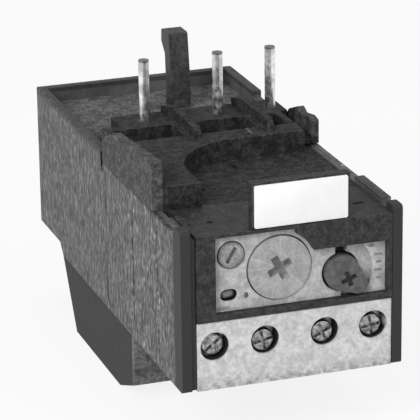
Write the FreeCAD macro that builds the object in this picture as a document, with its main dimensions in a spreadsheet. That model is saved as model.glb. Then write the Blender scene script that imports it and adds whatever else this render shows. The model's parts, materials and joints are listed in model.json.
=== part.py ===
import FreeCAD, Part
import math
import os
import re
import Sketcher

# Thermal overload relay, 45 mm wide, drawn as a FreeCAD document.
#
# Every sub-part is drawn in bench coordinates: x across the width with 0 in the middle, y from
# the front face (0) to the back, z up from the lower edge of the front (0). One placement, the
# same for all, then puts the origin under the middle of the relay, on the face it stands on.

doc = FreeCAD.newDocument("overload_relay")
sheet = doc.addObject("Spreadsheet::Sheet", "sizes")

# Driving dimensions, in millimetres (angles in degrees).
SIZES = {
    # casing
    "wide": 45.0,             # overall width: one 45 mm module
    "deep": 100.0,            # front face to back wall
    "foot_drop": 14.4,        # how far the main terminal housing hangs below the front
    "wall": 2.0,              # side, back and bottom walls
    "rim": 32.7,              # top of the front posts
    "rear_rim": 33.1,         # top of the rim round the back
    "shoulder": 31.3,         # top of the side walls beside the covers
    "rear_floor": 2.4,        # the bottom steps up here behind the terminal housing
    "step_y": 82.0,           # where that step is
    "cavity_front": 14.2,     # the floor starts here, behind the auxiliary terminals
    "jamb": 3.0,              # left jamb of the front opening
    "split": 17.0,            # joint between the front cover and the top cover
    "rim_front": 51.3,        # the high rim starts here on the left
    "phase_pitch": 14.2,      # between the three bimetal chambers
    "rib": 1.6,               # walls between the chambers
    "rib_top": 23.6,
    "fit_gap": 0.1,           # all round between two mouldings
    # top cover
    "deck_top": 30.0,
    "deck_thick": 2.0,
    "block_top": 36.0,        # raised block that carries the pins
    "recess_radius": 16.0,    # concave wall round the recess behind the label
    "recess_x": 3.5,
    "recess_y": 25.0,
    "ridge_top": 41.4,        # left side ridge, at its front end
    "ridge_back": 50.0,
    "barrier_top": 38.2,
    "barrier_thick": 1.4,
    "pin_block_top": 35.2,
    # line pins
    "pin_radius": 1.1,
    "pin_top": 48.5,
    "pin_y": 61.0,
    "pin_x_left": -9.9,
    "pin_x_middle": 6.15,
    "pin_x_right": 17.75,
    # rear hook
    "hook_left": 3.2,
    "hook_wide": 4.3,
    "hook_top": 46.5,
    # front
    "cover_front_low": 14.0,
    "cover_wall": 5.6,
    "panel_front": 1.2,
    "panel_thick": 2.2,
    "panel_low": 15.3,
    "panel_high": 30.6,
    "panel_left": -15.5,
    "panel_right": 19.4,
    "panel_step": 25.8,
    # setting dial
    "dial_x": -2.4,
    "dial_z": 22.9,
    "dial_radius": 6.35,
    "dial_shaft": 2.0,
    "cam_radius": 3.6,
    "cam_rise": 0.8,
    # reset and mode knob
    "knob_x": 10.25,
    "knob_z": 20.3,
    "knob_radius": 3.55,
    "lobe_radius": 1.9,
    "lobe_reach": 4.4,
    "plunger_radius": 3.3,
    "reset_travel": 1.2,
    # test button
    "test_x": -12.1,
    "test_z": 26.6,
    "test_radius": 2.6,
    # running clearance of everything that slides or turns in a hole
    "running": 0.05,
    # auxiliary terminals
    "aux_left": -19.5,
    "aux_right": 20.5,
    "aux_top": 13.8,
    "aux_front": 0.3,
    "aux_back": 13.6,
    "aux_screw_z": 8.8,
    "aux_hole": 2.9,
    "aux_head": 2.6,
    "aux_x_a": -15.8,
    "aux_x_b": -5.6,
    "aux_x_c": 6.6,
    "aux_x_d": 16.6,
    # main terminals
    "block_front": 31.4,
    "block_back": 73.0,
    "entry_half": 4.6,
    "load_screw_z": -5.2,
    "driver_hole": 3.1,
    # mechanism
    "strip_foot": 3.65,
    "strip_top": 28.2,
    "lever_x": -8.5,
    "lever_y": 22.0,
    "adjuster_x": 3.4,
    "adjuster_z": 18.0,
    "shelf_low": 14.2,
    "shelf_top": 15.6,
    # label
    "label_left": -7.6,
    "label_right": 11.3,
    "label_low": 31.5,
    "label_high": 40.0,
}

PINS = ("pin_x_left", "pin_x_middle", "pin_x_right")
PHASES = ("-phase_pitch", "0", "phase_pitch")
AUX = ("aux_x_a", "aux_x_b", "aux_x_c", "aux_x_d")


def fill_sheet():
    """Writes every driving dimension to a cell with an alias of its own."""
    for row, (name, number) in enumerate(SIZES.items(), start=1):
        sheet.set("A%d" % row, name.replace("_", " "))
        sheet.set("B%d" % row, "%g" % number)
        sheet.setAlias("B%d" % row, name)
    doc.recompute()


def bound(text):
    """The expression text with each alias written as a reference to its cell."""
    def reference(match):
        word = match.group()
        return "sizes." + word if word in SIZES else word
    return re.sub(r"[a-z][a-z_]*", reference, str(text))


def value(text):
    """The number that such an expression gives now."""
    return float(sheet.evalExpression(bound(text)))


def plus(first, second):
    return "%s + (%s)" % (first, second)


class Piece:
    """A PartDesign body made of prisms, each drawn as a constrained sketch on an origin plane."""

    NORMAL = {"XY": 1, "XZ": -1, "YZ": 1}

    def __init__(self, label):
        self.body = doc.addObject("PartDesign::Body", label)
        self.body.Label = label
        place(self.body)

    def sketch(self, plane, level, loops):
        """A sketch on one origin plane, moved along that plane's axis to the given level."""
        role = plane + "_Plane"
        support = [f for f in self.body.Origin.OriginFeatures if f.Role == role][0]
        drawing = self.body.newObject("Sketcher::SketchObject", "sketch")
        drawing.AttachmentSupport = [(support, "")]
        drawing.MapMode = "FlatFace"
        sign = "" if self.NORMAL[plane] > 0 else "-"
        drawing.setExpression("AttachmentOffset.Base.z", "%s(%s)" % (sign, bound(level)))
        for loop in loops:
            if loop[0] == "circle":
                draw_circle(drawing, *loop[1:])
            else:
                draw_outline(drawing, loop)
        return drawing

    def prism(self, kind, plane, start, length, loops):
        before = self.body.Shape.Volume if self.body.Tip else 0.0
        drawing = self.sketch(plane, start, loops)
        feature = self.body.newObject("PartDesign::" + kind, kind.lower())
        feature.Profile = drawing
        feature.setExpression("Length", bound(length))
        along_axis = self.NORMAL[plane] > 0
        feature.Reversed = along_axis if kind == "Pocket" else not along_axis
        doc.recompute()
        change = self.body.Shape.Volume - before
        if (change < 0) != (kind == "Pocket") or abs(change) < 1e-6:
            raise ValueError("%s: %s changed the volume by %g" % (self.body.Label, kind, change))
        return self

    def pad(self, plane, start, length, *loops):
        return self.prism("Pad", plane, start, length, loops)

    def cut(self, plane, start, length, *loops):
        return self.prism("Pocket", plane, start, length, loops)

    def box(self, x, y, z, kind="Pad"):
        """A block between two limits on each axis."""
        return self.prism(kind, "XY", z[0], "(%s) - (%s)" % (z[1], z[0]), [rectangle(x, y)])

    def dress(self, kind, size, test):
        """Rounds or bevels the edges that the test picks by middle point and direction."""
        tip = self.body.Tip
        names = []
        for number, edge in enumerate(tip.Shape.Edges, start=1):
            ends = [v.Point for v in edge.Vertexes]
            run = (ends[-1] - ends[0]) if len(ends) > 1 else FreeCAD.Vector()
            middle = edge.valueAt((edge.FirstParameter + edge.LastParameter) / 2)
            if test(middle, run):
                names.append("Edge%d" % number)
        if not names:
            raise ValueError("%s: no edge to dress" % self.body.Label)
        feature = self.body.newObject("PartDesign::" + kind, kind.lower())
        feature.Base = (tip, names)
        size_name = "Radius" if kind == "Fillet" else "Size"
        feature.setExpression(size_name, bound(size))
        doc.recompute()
        return self


def place(thing):
    """Puts a sub-part from bench coordinates into the relay's own frame."""
    thing.setExpression("Placement.Base.y", "-sizes.deep / 2")
    thing.setExpression("Placement.Base.z", "sizes.foot_drop")


def rectangle(a, b):
    return [(a[0], b[0]), (a[1], b[0]), (a[1], b[1]), (a[0], b[1])]


def circle(a, b, radius):
    return ("circle", a, b, radius)


def octagon(a, b, radius):
    """Eight-sided outline: plain shanks, contact tips and small holes that repeat."""
    angles = [45 * step + 22.5 for step in range(8)]
    reach = "(%s) * " % radius
    return [(plus(a, reach + "cos(%g)" % t), plus(b, reach + "sin(%g)" % t)) for t in angles]


def fix(drawing, kind, geometry, end, text):
    """Pins one coordinate of a point of the sketch to an expression."""
    number = value(text)
    if abs(number) < 1e-9:
        axis = -2 if kind == "DistanceX" else -1
        drawing.addConstraint(Sketcher.Constraint("PointOnObject", geometry, end, axis))
        return
    rule = Sketcher.Constraint(kind, -1, 1, geometry, end, number)
    index = drawing.addConstraint(rule)
    drawing.setExpression("Constraints[%d]" % index, bound(text))


def draw_circle(drawing, a, b, radius):
    middle = FreeCAD.Vector(value(a), value(b), 0)
    ring = Part.Circle(middle, FreeCAD.Vector(0, 0, 1), value(radius))
    index = drawing.addGeometry(ring, False)
    fix(drawing, "DistanceX", index, 3, a)
    fix(drawing, "DistanceY", index, 3, b)
    size = drawing.addConstraint(Sketcher.Constraint("Radius", index, value(radius)))
    drawing.setExpression("Constraints[%d]" % size, bound(radius))


def draw_outline(drawing, loop):
    """A closed outline; a corner given as (a, b, mid_a, mid_b) is reached along an arc."""
    count = len(loop)
    corners = [FreeCAD.Vector(value(p[0]), value(p[1]), 0) for p in loop]
    ends = []
    for i in range(count):
        goal = loop[(i + 1) % count]
        start, stop = corners[i], corners[(i + 1) % count]
        if len(goal) == 4:
            middle = FreeCAD.Vector(value(goal[2]), value(goal[3]), 0)
            arc = Part.Arc(start, middle, stop)
            index = drawing.addGeometry(arc, False)
            first_is_start = drawing.getPoint(index, 1).distanceToPoint(start) < 1e-6
            ends.append((index, 1, 2) if first_is_start else (index, 2, 1))
            hub = drawing.Geometry[index].Center
            chord = stop - start
            if abs(chord.y) > abs(chord.x):
                rule = Sketcher.Constraint("DistanceX", -1, 1, index, 3, hub.x)
            else:
                rule = Sketcher.Constraint("DistanceY", -1, 1, index, 3, hub.y)
            drawing.addConstraint(rule)
        else:
            index = drawing.addGeometry(Part.LineSegment(start, stop), False)
            ends.append((index, 1, 2))
    for i in range(count):
        here, after = ends[i], ends[(i + 1) % count]
        rule = Sketcher.Constraint("Coincident", here[0], here[2], after[0], after[1])
        drawing.addConstraint(rule)
    for i, corner in enumerate(loop):
        fix(drawing, "DistanceX", ends[i][0], ends[i][1], corner[0])
        fix(drawing, "DistanceY", ends[i][0], ends[i][1], corner[1])


def upright(run):
    """True for an edge that runs straight up."""
    return run.Length > 1e-6 and abs(run.z) > 0.999 * run.Length


def crosswise(run):
    """True for an edge that runs across the width."""
    return run.Length > 1e-6 and abs(run.x) > 0.999 * run.Length


# ---------------------------------------------------------------- casing


def base_housing():
    """The tub: side walls, floor and back wall in one moulding, open at the front and on top."""
    piece = Piece("base_housing")
    side = [
        (0, 0), ("step_y", 0), ("step_y + rear_floor", "rear_floor"), ("deep", "rear_floor"),
        ("deep", "rear_rim"), ("rim_front", "rear_rim"), ("rim_front", "rim - 2.5"),
        ("rim_front - 1.3", "rim - 2.5"), ("rim_front - 1.3", "shoulder"), (3.4, "shoulder"),
        (3.4, "rim"), (0, "rim"),
    ]
    piece.pad("YZ", "-wide / 2", "wide", side)
    piece.dress("Fillet", 0.8, lambda at, run: crosswise(run) and at.y < 0.01)
    piece.dress("Fillet", 0.6, lambda at, run: upright(run) and at.y > value("deep") - 0.01)
    inner = rectangle(("-wide / 2 + wall", "wide / 2 - wall"), (-1, "deep - wall"))
    piece.cut("XY", "rear_floor + wall", "rim", inner)
    front_floor = rectangle(("-wide / 2 + wall", "wide / 2 - wall"), (-1, "step_y"))
    piece.cut("XY", "wall", "rear_floor", front_floor)
    opening = rectangle(("-wide / 2 + wall", "wide / 2 - wall"), (-1, "cavity_front"))
    piece.cut("XY", -1, "wall + 2", opening)
    # left jamb beside the terminals
    piece.box(("-wide / 2 + wall / 2", "-wide / 2 + jamb"), (0.4, "cavity_front"), (0.4, 30.8))
    # right wall: lower between the lug and the back rim, with a low bump near the front
    right = ("wide / 2 - wall - 0.2", "wide / 2 + 1")
    piece.box(right, ("rim_front", 79.6), (31.6, "rim + 1"), "Pocket")
    piece.box(("wide / 2 - wall", "wide / 2"), (6, 20), ("shoulder - 1", 32.4))
    # walls between the phase chambers, a low wall in front of them and one behind
    for sign in ("-", ""):
        middle = "%s(phase_pitch / 2)" % sign
        across = (plus(middle, "-rib / 2"), plus(middle, "rib / 2"))
        piece.box(across, (38.4, 70.5), ("wall - 0.5", "rib_top"))
    whole = ("-wide / 2 + wall / 2", "wide / 2 - wall / 2")
    piece.box(whole, (33, "33 + rib"), ("wall - 0.5", 12.5))
    piece.box(whole, (70, "70 + rib"), ("wall - 0.5", "deck_top - deck_thick - fit_gap"))
    for x in (-10, 10):
        ends = (71, "deep - wall / 2")
        heights = ("wall + 0.5", "deck_top - deck_thick - fit_gap")
        piece.box(("%d - rib / 2" % x, "%d + rib / 2" % x), ends, heights)
    # slots in the floor for the load terminals
    for phase in PHASES:
        slot = rectangle((plus(phase, -3.7), plus(phase, 3.7)), (49.9, 51.9))
        piece.cut("XY", -1, 4, slot)
    # shallow grooves down both sides
    for y in (14, 30, 48):
        for x in ("-wide / 2 - 1", "wide / 2 - 0.25"):
            strip = rectangle((y, plus(y, 0.7)), (1.5, 29.5))
            piece.cut("YZ", x, 1.25, strip)


def terminal_housing():
    """The block below that holds the main terminals: cables from below, screws from the front."""
    piece = Piece("terminal_housing")
    side = [
        ("block_front", 0), ("block_front", -10.6), ("block_front + 10", "-foot_drop"),
        ("block_back", "-foot_drop"), ("step_y", 0),
    ]
    piece.pad("YZ", "-wide / 2", "wide", side)
    for phase in PHASES:
        across = (plus(phase, -5.8), plus(phase, 5.8))
        piece.cut("XY", -9.6, "foot_drop", rectangle(across, ("block_front + wall", 56)))
        piece.cut("XY", "-foot_drop + wall", "foot_drop", rectangle(across, (42.4, 56)))
        entry = (plus(phase, "-entry_half"), plus(phase, "entry_half"))
        piece.cut("XY", "-foot_drop - 1", 5, rectangle(entry, (42.6, 49.8)))
        hole = circle(phase, "load_screw_z", "driver_hole")
        piece.cut("XZ", "block_front - 1", 5, hole)
    back_room = rectangle(("-wide / 2 + wall", "wide / 2 - wall"), (58, "block_back - 3"))
    piece.cut("XY", "-foot_drop + wall", "foot_drop", back_room)


def front_cover():
    """Front wall with the recess for the dial panel, and the flat top behind it."""
    piece = Piece("front_cover")
    left, right = "-wide / 2 + jamb + fit_gap", "wide / 2 - wall - fit_gap"
    front = rectangle((left, right), ("cover_front_low", "shoulder"))
    piece.pad("XZ", 0, "cover_wall", front)
    piece.box((left, right), (2, "split - fit_gap"), ("shoulder - 1.4", "shoulder"))
    piece.cut("XZ", -1, "panel_front + panel_thick + 1", panel_outline("fit_gap / 2"))
    holes = [
        circle("dial_x", "dial_z", "dial_shaft + running"),
        circle("test_x", "test_z", "test_radius + 0.1"),
        circle("knob_x", "knob_z", "plunger_radius + running"),
        rectangle(("test_x - 2.3", "test_x + 1.3"), ("test_z - 9.35", "test_z - 6.75")),
        circle("adjuster_x", "adjuster_z", 1.0),
    ]
    piece.cut("XZ", 1, 8, *holes)
    # feet of the label carrier drop into two slots
    for x in (-5.5, 7.5):
        slot = rectangle((x, x + 3), (1.9, 3.1))
        piece.cut("XY", "panel_high", 3, slot)
    # moulding marks and two small round holes on top
    for x in (-18, -14):
        piece.cut("XY", "shoulder - 2", 3, octagon(x, 7.5, 0.7))
    piece.box((15.2, 17.6), (7.4, 8.2), ("shoulder - 0.7", "shoulder + 1"), "Pocket")
    piece.box((13.4, 14.6), (11.6, 12.8), ("shoulder - 0.7", "shoulder + 1"), "Pocket")


def panel_outline(grow):
    """Panel edge: its top steps down to the right along a curve round the dial."""
    around = "dial_radius + 0.95 + (%s)" % grow
    low, high = "panel_low - (%s)" % grow, "panel_high + (%s)" % grow
    left, right = "panel_left - (%s)" % grow, "panel_right + (%s)" % grow
    step = "panel_step + (%s)" % grow
    drop_x = "0.9 + (%s)" % grow
    drop_z = "dial_z + sqrt((%s)^2 - (%s - dial_x)^2)" % (around, drop_x)
    end_x = "dial_x + sqrt((%s)^2 - (%s - dial_z)^2)" % (around, step)
    middle = ("dial_x + (%s) * cos(44)" % around, "dial_z + (%s) * sin(44)" % around)
    return [
        (left, low), (right, low), (right, step), (end_x, step),
        (drop_x, drop_z, middle[0], middle[1]), (drop_x, high), (left, high),
    ]


def flag_window():
    """Rounded slot through which the trip flag shows."""
    low, middle, high = "test_z - 9.25", "test_z - 8.05", "test_z - 6.85"
    left, right = "test_x - 1", "test_x"
    return [
        (left, low, plus(left, -1.2), middle), (right, low),
        (right, high, plus(right, 1.2), middle), (left, high),
    ]


def dial_panel():
    """Light plate round the dial, with a keyhole and a shallow swing pocket for the knob."""
    piece = Piece("dial_panel")
    piece.pad("XZ", "panel_front", "panel_thick", panel_outline("0"))
    holes = [
        circle("dial_x", "dial_z", "dial_radius + 0.25"),
        circle("test_x", "test_z", "test_radius + 0.2"),
        flag_window(),
    ]
    piece.cut("XZ", 0, 8, *holes)
    piece.cut("XZ", 0, 8, circle("knob_x", "knob_z", "knob_radius + 0.4"))
    neck = rectangle(("knob_x - 1.2", "knob_x + 1.2"), ("knob_z", "panel_step + 1"))
    piece.cut("XZ", 0, 8, neck)
    sweep = "lobe_reach + lobe_radius + 0.2"
    fan = [
        ("knob_x", "knob_z - 5.1"), ("knob_x + 4.4", "knob_z - 5.1"),
        ("knob_x + 4.4", "knob_z + 5.1", "knob_x + %s" % sweep, "knob_z"),
        ("knob_x", "knob_z + 4.1"),
    ]
    piece.cut("XZ", 0, "0.8 + reset_travel", fan)


def aux_terminal_block():
    """Light block with four screw terminals; wires enter from below."""
    piece = Piece("aux_terminal_block")
    left, right = "aux_left + fit_gap", "aux_right - fit_gap"
    outline = rectangle((left, right), (0, "aux_top"))
    piece.pad("XZ", "aux_front", "aux_back - aux_front", outline)
    for x in AUX:
        piece.cut("XZ", 0, 5, circle(x, "aux_screw_z", "aux_hole"))
        room = rectangle((plus(x, -3.2), plus(x, 3.2)), (3.4, 10.2))
        piece.cut("XY", -1, "aux_top - 0.4", room)
        tongue = rectangle((plus(x, -2.3), plus(x, 2.3)), (11.1, 12.3))
        piece.cut("XZ", 9.5, 6, tongue)


def top_cover():
    """Deck, recess, raised block with the concave wall, side ridge, barriers and pin guides."""
    piece = Piece("top_cover")
    left, right = "-wide / 2 + wall + fit_gap", "wide / 2 - wall - fit_gap"
    under = "shoulder - 2.7"
    piece.box((left, right), ("split", 57), (under, "shoulder"))
    piece.box((left, right), (50, "deep - wall - fit_gap"), ("deck_top - deck_thick", "deck_top"))
    diagonal = "recess_radius * sin(45)"
    raised = [
        (left, "split"), ("recess_x - recess_radius", "split"),
        ("recess_x - recess_radius", "recess_y"),
        ("recess_x", "recess_y + recess_radius",
         "recess_x - %s" % diagonal, "recess_y + %s" % diagonal),
        (17.9, "recess_y + recess_radius"), (17.9, 57), (left, 57),
    ]
    piece.pad("XY", "shoulder - 1", "block_top - shoulder + 1", raised)
    # left ridge, flush with the side wall, its top sloping down to the back
    ridge = [
        ("split + 0.1", "shoulder + 0.05"), ("ridge_back", "shoulder + 0.05"), ("ridge_back", 36.0),
        (47.7, 37.3), (44.1, 39.0), ("split + 0.1", "ridge_top"),
    ]
    piece.pad("YZ", "-wide / 2", "wall + 0.3", ridge)
    # right lug: a low foot on the wall and a thin upright on its outer edge
    piece.box((17.8, "wide / 2"), (44.8, 61.7), ("shoulder + 0.35", 32.7))
    lug = [
        (44.8, "shoulder + 0.35"), (61.7, "shoulder + 0.35"), (61.7, 31.9), (58.1, 35.4),
        (53.4, 37.2), (51.3, 36.3), (47.0, 37.0), (44.8, 36.6),
    ]
    piece.pad("YZ", 20.9, "wide / 2 - 20.9", lug)
    # pin block
    piece.box((-15.6, right), (57.8, 66.4), ("deck_top - 1", "pin_block_top"))
    piece.box((-15.6, 17.8), (56, 58.4), ("deck_top - 1", "pin_block_top - 2.2"))
    # phase barriers
    for x, back in ((-4.0, 66.2), (11.6, 66.2)):
        wall = [
            (43.5, "block_top - 0.5"), (back, "deck_top - 0.5"), (back, "barrier_top - 1.6"),
            (60.0, "barrier_top"), (45.0, "barrier_top"), (43.5, "barrier_top - 1.2"),
        ]
        across = "%g - barrier_thick / 2" % x
        piece.pad("YZ", across, "barrier_thick", wall)
    # wells between the barriers
    wells = [
        rectangle((-18.6, -5.8), (46.5, 54.6)),
        rectangle((-2.2, 9.8), (46.5, 54.6)),
        rectangle((13.4, 16.4), (46.5, 54.6)),
    ]
    piece.cut("XY", "block_top - 3.2", 6, *wells)
    # hollow underside
    hollow = [
        (-18.4, "split + 2"), (-14.6, "split + 2"), (-14.6, 43.4), (15.9, 43.4), (15.9, 45.4),
        (-18.4, 45.4),
    ]
    piece.cut("XY", "shoulder - 4", "block_top - 2 - shoulder + 4", hollow)
    # holes for the pins' square roots, the hook and three small openings in the recess floor
    roots = [
        rectangle((plus(pin, -0.8), plus(pin, 0.8)), ("pin_y - 0.8", "pin_y + 0.8"))
        for pin in PINS
    ]
    piece.cut("XY", 20, 30, *roots)
    slot = rectangle(("hook_left - fit_gap", "hook_left + hook_wide + fit_gap"), (82.9, 87.1))
    piece.cut("XY", 20, 20, slot)
    small = [octagon(-9.1, 26.3, 0.65), octagon(-6.8, 26.0, 0.65)]
    piece.cut("XY", 20, 14, *small)
    piece.cut("XY", 20, 14, rectangle((0.8, 2.2), (36.2, 38.6)))


def rear_hook():
    """Latch that stands up through the deck and hooks over the contactor's edge."""
    piece = Piece("rear_hook")
    side = [
        (81.0, 26.0), (89.0, 26.0), (89.0, 27.8), (87.0, 27.8), (87.0, 36.0), (87.4, 41.4),
        (89.8, 43.8), (89.6, "hook_top"), (84.6, "hook_top"), (83.0, 36.0), (83.0, 27.8),
        (81.0, 27.8),
    ]
    piece.pad("YZ", "hook_left", "hook_wide", side)
    piece.dress("Fillet", 0.5, lambda at, run: crosswise(run) and at.z > value("hook_top") - 0.1)


def label_carrier():
    """Black frame that stands on the front edge and holds the label."""
    piece = Piece("label_carrier")
    frame_x = ("label_left - 0.4", "label_right + 0.4")
    piece.box(frame_x, (0.5, 2.6), ("shoulder", "label_high + 0.4"))
    face = rectangle(("label_left - 0.05", "label_right + 0.05"),
                     ("label_low - 0.05", "label_high + 0.05"))
    piece.cut("XZ", 0.2, 0.9, face)
    for x in (-5.5, 7.5):
        piece.box((x + 0.1, x + 2.9), (1.95, 3.05), ("shoulder - 0.6", "shoulder + 0.5"))


def label_plate():
    """White label, bare."""
    piece = Piece("label_plate")
    face = rectangle(("label_left", "label_right"), ("label_low", "label_high"))
    piece.pad("XZ", 0.2, 0.9, face)


# ---------------------------------------------------------------- current path


def bus_pin(number, pin, phase):
    """Round line pin on a square root, with a flat link to its bimetal chamber."""
    piece = Piece("bus_pin_%d" % number)
    round_part = circle(pin, "pin_y", "pin_radius")
    piece.pad("XY", "pin_block_top", "pin_top - pin_block_top", round_part)
    root = (plus(pin, -0.75), plus(pin, 0.75))
    piece.box(root, ("pin_y - 0.75", "pin_y + 0.75"), (24.2, "pin_block_top + 0.3"))
    link = [
        (plus(phase, -1.5), 49.6), (plus(phase, 1.5), 49.6), (plus(pin, 1.5), 60.5),
        (plus(pin, 1.5), 62.5), (plus(pin, -1.5), 62.5), (plus(pin, -1.5), 60.5),
    ]
    piece.pad("XY", 24.2, 1.2, link)
    piece.box((plus(phase, -1.5), plus(phase, 1.5)), (49.6, 50.8), (19, 24.4))


def bimetal_strip(number, phase):
    """Upright bimetal, narrower where it passes between the sliders."""
    piece = Piece("bimetal_strip_%d" % number)
    face = [
        (43, "strip_foot"), (48, "strip_foot"), (48, 21.5), (47, 22.5), (47, "strip_top"),
        (44, "strip_top"), (44, 22.5), (43, 21.5),
    ]
    piece.pad("YZ", plus(phase, -0.5), 1.0, face)


def insulating_sleeve(number, phase):
    """Flat glass-cloth sleeve between the strip and its heater."""
    piece = Piece("insulating_sleeve_%d" % number)
    outer = rectangle((plus(phase, -1.3), plus(phase, 1.3)), (42.4, 48.6))
    inner = rectangle((plus(phase, -0.52), plus(phase, 0.52)), (42.98, 48.02))
    piece.pad("XY", 5, 15, outer, inner)


def heater_winding(number, phase):
    """Flat heater ribbon wound round the sleeve, joined turn to turn on one side."""
    piece = Piece("heater_winding_%d" % number)
    outer = rectangle((plus(phase, -1.9), plus(phase, 1.9)), (41.8, 49.2))
    inner = rectangle((plus(phase, -1.32), plus(phase, 1.32)), (42.38, 48.62))
    piece.pad("XY", 6, 1.3, outer, inner)
    turn = piece.body.Tip
    rows = piece.body.newObject("PartDesign::LinearPattern", "turns")
    rows.Originals = [turn]
    rows.Direction = ([f for f in piece.body.Origin.OriginFeatures if f.Role == "Z_Axis"][0], [""])
    rows.Length = 10.8
    rows.Occurrences = 4
    piece.body.Tip = rows
    doc.recompute()
    piece.box((plus(phase, 0.3), plus(phase, 1.5)), (48.65, 49.2), (6, 18.1))


def load_terminal(number, phase):
    """Copper terminal: a foot on the floor and a leg down into the terminal housing."""
    piece = Piece("load_terminal_%d" % number)
    side = [
        (42.6, "wall"), (50.2, "wall"), (50.2, -11), (51.6, -11), (51.6, 3.5), (42.6, 3.5),
    ]
    piece.pad("YZ", plus(phase, -3.5), 7, side)
    piece.cut("XZ", 49, 4, octagon(phase, "load_screw_z", 1.75))


def load_clamps():
    """Three pressure plates that the main screws push against the conductors."""
    piece = Piece("load_clamps")
    plates = [rectangle((plus(p, -4.3), plus(p, 4.3)), (-9.4, -1.0)) for p in PHASES]
    holes = [octagon(p, "load_screw_z", 1.85) for p in PHASES]
    piece.pad("XZ", 40.8, 1.4, *plates)
    piece.cut("XZ", 40, 4, *holes)


def load_screws():
    """Three main terminal screws, slotted heads to the front."""
    piece = Piece("load_screws")
    piece.pad("XZ", 38.2, 2.55, *[circle(p, "load_screw_z", 2.9) for p in PHASES])
    piece.pad("XZ", 40.7, 13.0, *[octagon(p, "load_screw_z", 1.7) for p in PHASES])
    slots = [
        rectangle((plus(p, -3), plus(p, 3)), ("load_screw_z - 0.4", "load_screw_z + 0.4"))
        for p in PHASES
    ]
    piece.cut("XZ", 38, 1.2, *slots)


def aux_terminal(number, x, tab_back):
    """Plate under an auxiliary screw; its tongue runs back to a fixed contact."""
    piece = Piece("aux_terminal_%d" % number)
    piece.box((plus(x, -2.6), plus(x, 2.6)), (9.2, 10.1), (3, 12.2))
    piece.box((plus(x, -2.2), plus(x, 2.2)), (9.4, tab_back), (11.2, 12.2))
    piece.box((plus(x, -1.8), plus(x, 1.8)), (plus(tab_back, -0.8), tab_back), (5.6, 12.0))
    piece.cut("XZ", 8.5, 2, octagon(x, "aux_screw_z", 1.55))
    tip_start = tab_back - 1.4 if tab_back > 20 else tab_back - 0.02
    piece.pad("XZ", tip_start, 0.62, octagon(x, 8.5, 1.2))


def aux_clamps():
    """Square clamp washers under the auxiliary screw heads."""
    piece = Piece("aux_clamps")
    plates = [
        rectangle((plus(x, -2.8), plus(x, 2.8)), ("aux_screw_z - 2.8", "aux_screw_z + 2.8"))
        for x in AUX
    ]
    piece.pad("XZ", 4.0, 0.9, *plates)
    piece.cut("XZ", 3, 4, *[octagon(x, "aux_screw_z", 1.6) for x in AUX])


def aux_screws():
    """Four combination-head auxiliary screws."""
    piece = Piece("aux_screws")
    piece.pad("XZ", 1.9, 2.05, *[circle(x, "aux_screw_z", "aux_head") for x in AUX])
    piece.pad("XZ", 3.9, 6.2, *[octagon(x, "aux_screw_z", 1.5) for x in AUX])
    angles = dict(zip(AUX, (38, 12, 25, 8)))
    for x in AUX:
        for turn in (angles[x], angles[x] + 90):
            piece.cut("XZ", 1, 1.9, turned_slot(x, "aux_screw_z", 2.0, 0.38, turn))


def turned_slot(x, z, half_long, half_wide, angle):
    """A rectangle turned about its middle."""
    corners = ((-1, -1), (1, -1), (1, 1), (-1, 1))
    loop = []
    for along, across in corners:
        a = "(%g) * cos(%g) - (%g) * sin(%g)" % (along * half_long, angle, across * half_wide, angle)
        b = "(%g) * sin(%g) + (%g) * cos(%g)" % (along * half_long, angle, across * half_wide, angle)
        loop.append((plus(x, a), plus(z, b)))
    return loop


# ---------------------------------------------------------------- dial, knob, button


def setting_dial():
    """Current setting dial with a cross recess and a shaft."""
    piece = Piece("setting_dial")
    piece.pad("XZ", 0.8, 2.45, circle("dial_x", "dial_z", "dial_radius"))
    piece.pad("XZ", 3.2, 7.6, circle("dial_x", "dial_z", "dial_shaft"))
    for turn in (28, 118):
        piece.cut("XZ", 0, 1.8, turned_slot("dial_x", "dial_z", 2.5, 0.75, turn))


def setting_cam():
    """Cam on the dial's shaft: its radius grows evenly through the dial's whole range."""
    def rim(angle):
        reach = "(cam_radius + cam_rise * (%g) / 120)" % angle
        return ("dial_x + %s * cos(%g)" % (reach, angle), "dial_z + %s * sin(%g)" % (reach, angle))

    piece = Piece("setting_cam")
    first, count = -130, 6
    stride = -2 * first / count
    outline = [rim(first)]
    for step in range(count):
        start = first + stride * step
        outline.append(rim(start + stride) + rim(start + stride / 2))
    piece.pad("XZ", 8.0, 2.2, outline)
    piece.cut("XZ", 7, 5, circle("dial_x", "dial_z", "dial_shaft"))


def adjusting_lever():
    """Follower lever: its nose rides on the cam and its upper end shifts the trip point."""
    piece = Piece("adjusting_lever")
    piece.pad("XZ", 8.2, 1.8, circle("adjuster_x", "adjuster_z", 2.0))
    arm = [
        ("adjuster_x - 1.2", "adjuster_z"), ("adjuster_x + 1.2", "adjuster_z"),
        ("adjuster_x + 1.2", 28.2), ("adjuster_x - 1.2", 28.2),
        ("adjuster_x - 1.2", "dial_z + 1.4"), ("dial_x + cam_radius + 0.15", "dial_z + 0.5"),
        ("dial_x + cam_radius + 0.15", "dial_z - 0.5"), ("adjuster_x - 1.2", "dial_z - 1.4"),
    ]
    piece.pad("XZ", 8.2, 1.8, arm)
    piece.box(("adjuster_x - 1", "adjuster_x + 1"), (9.8, 14.4), (26.6, 28.2))
    piece.cut("XZ", 8, 3, circle("adjuster_x", "adjuster_z", "1 + running"))


def adjuster_pin():
    """Pivot pin of the adjusting lever, pressed into the front cover."""
    piece = Piece("adjuster_pin")
    piece.pad("XZ", 4.0, 6.8, circle("adjuster_x", "adjuster_z", 1.0))


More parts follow.
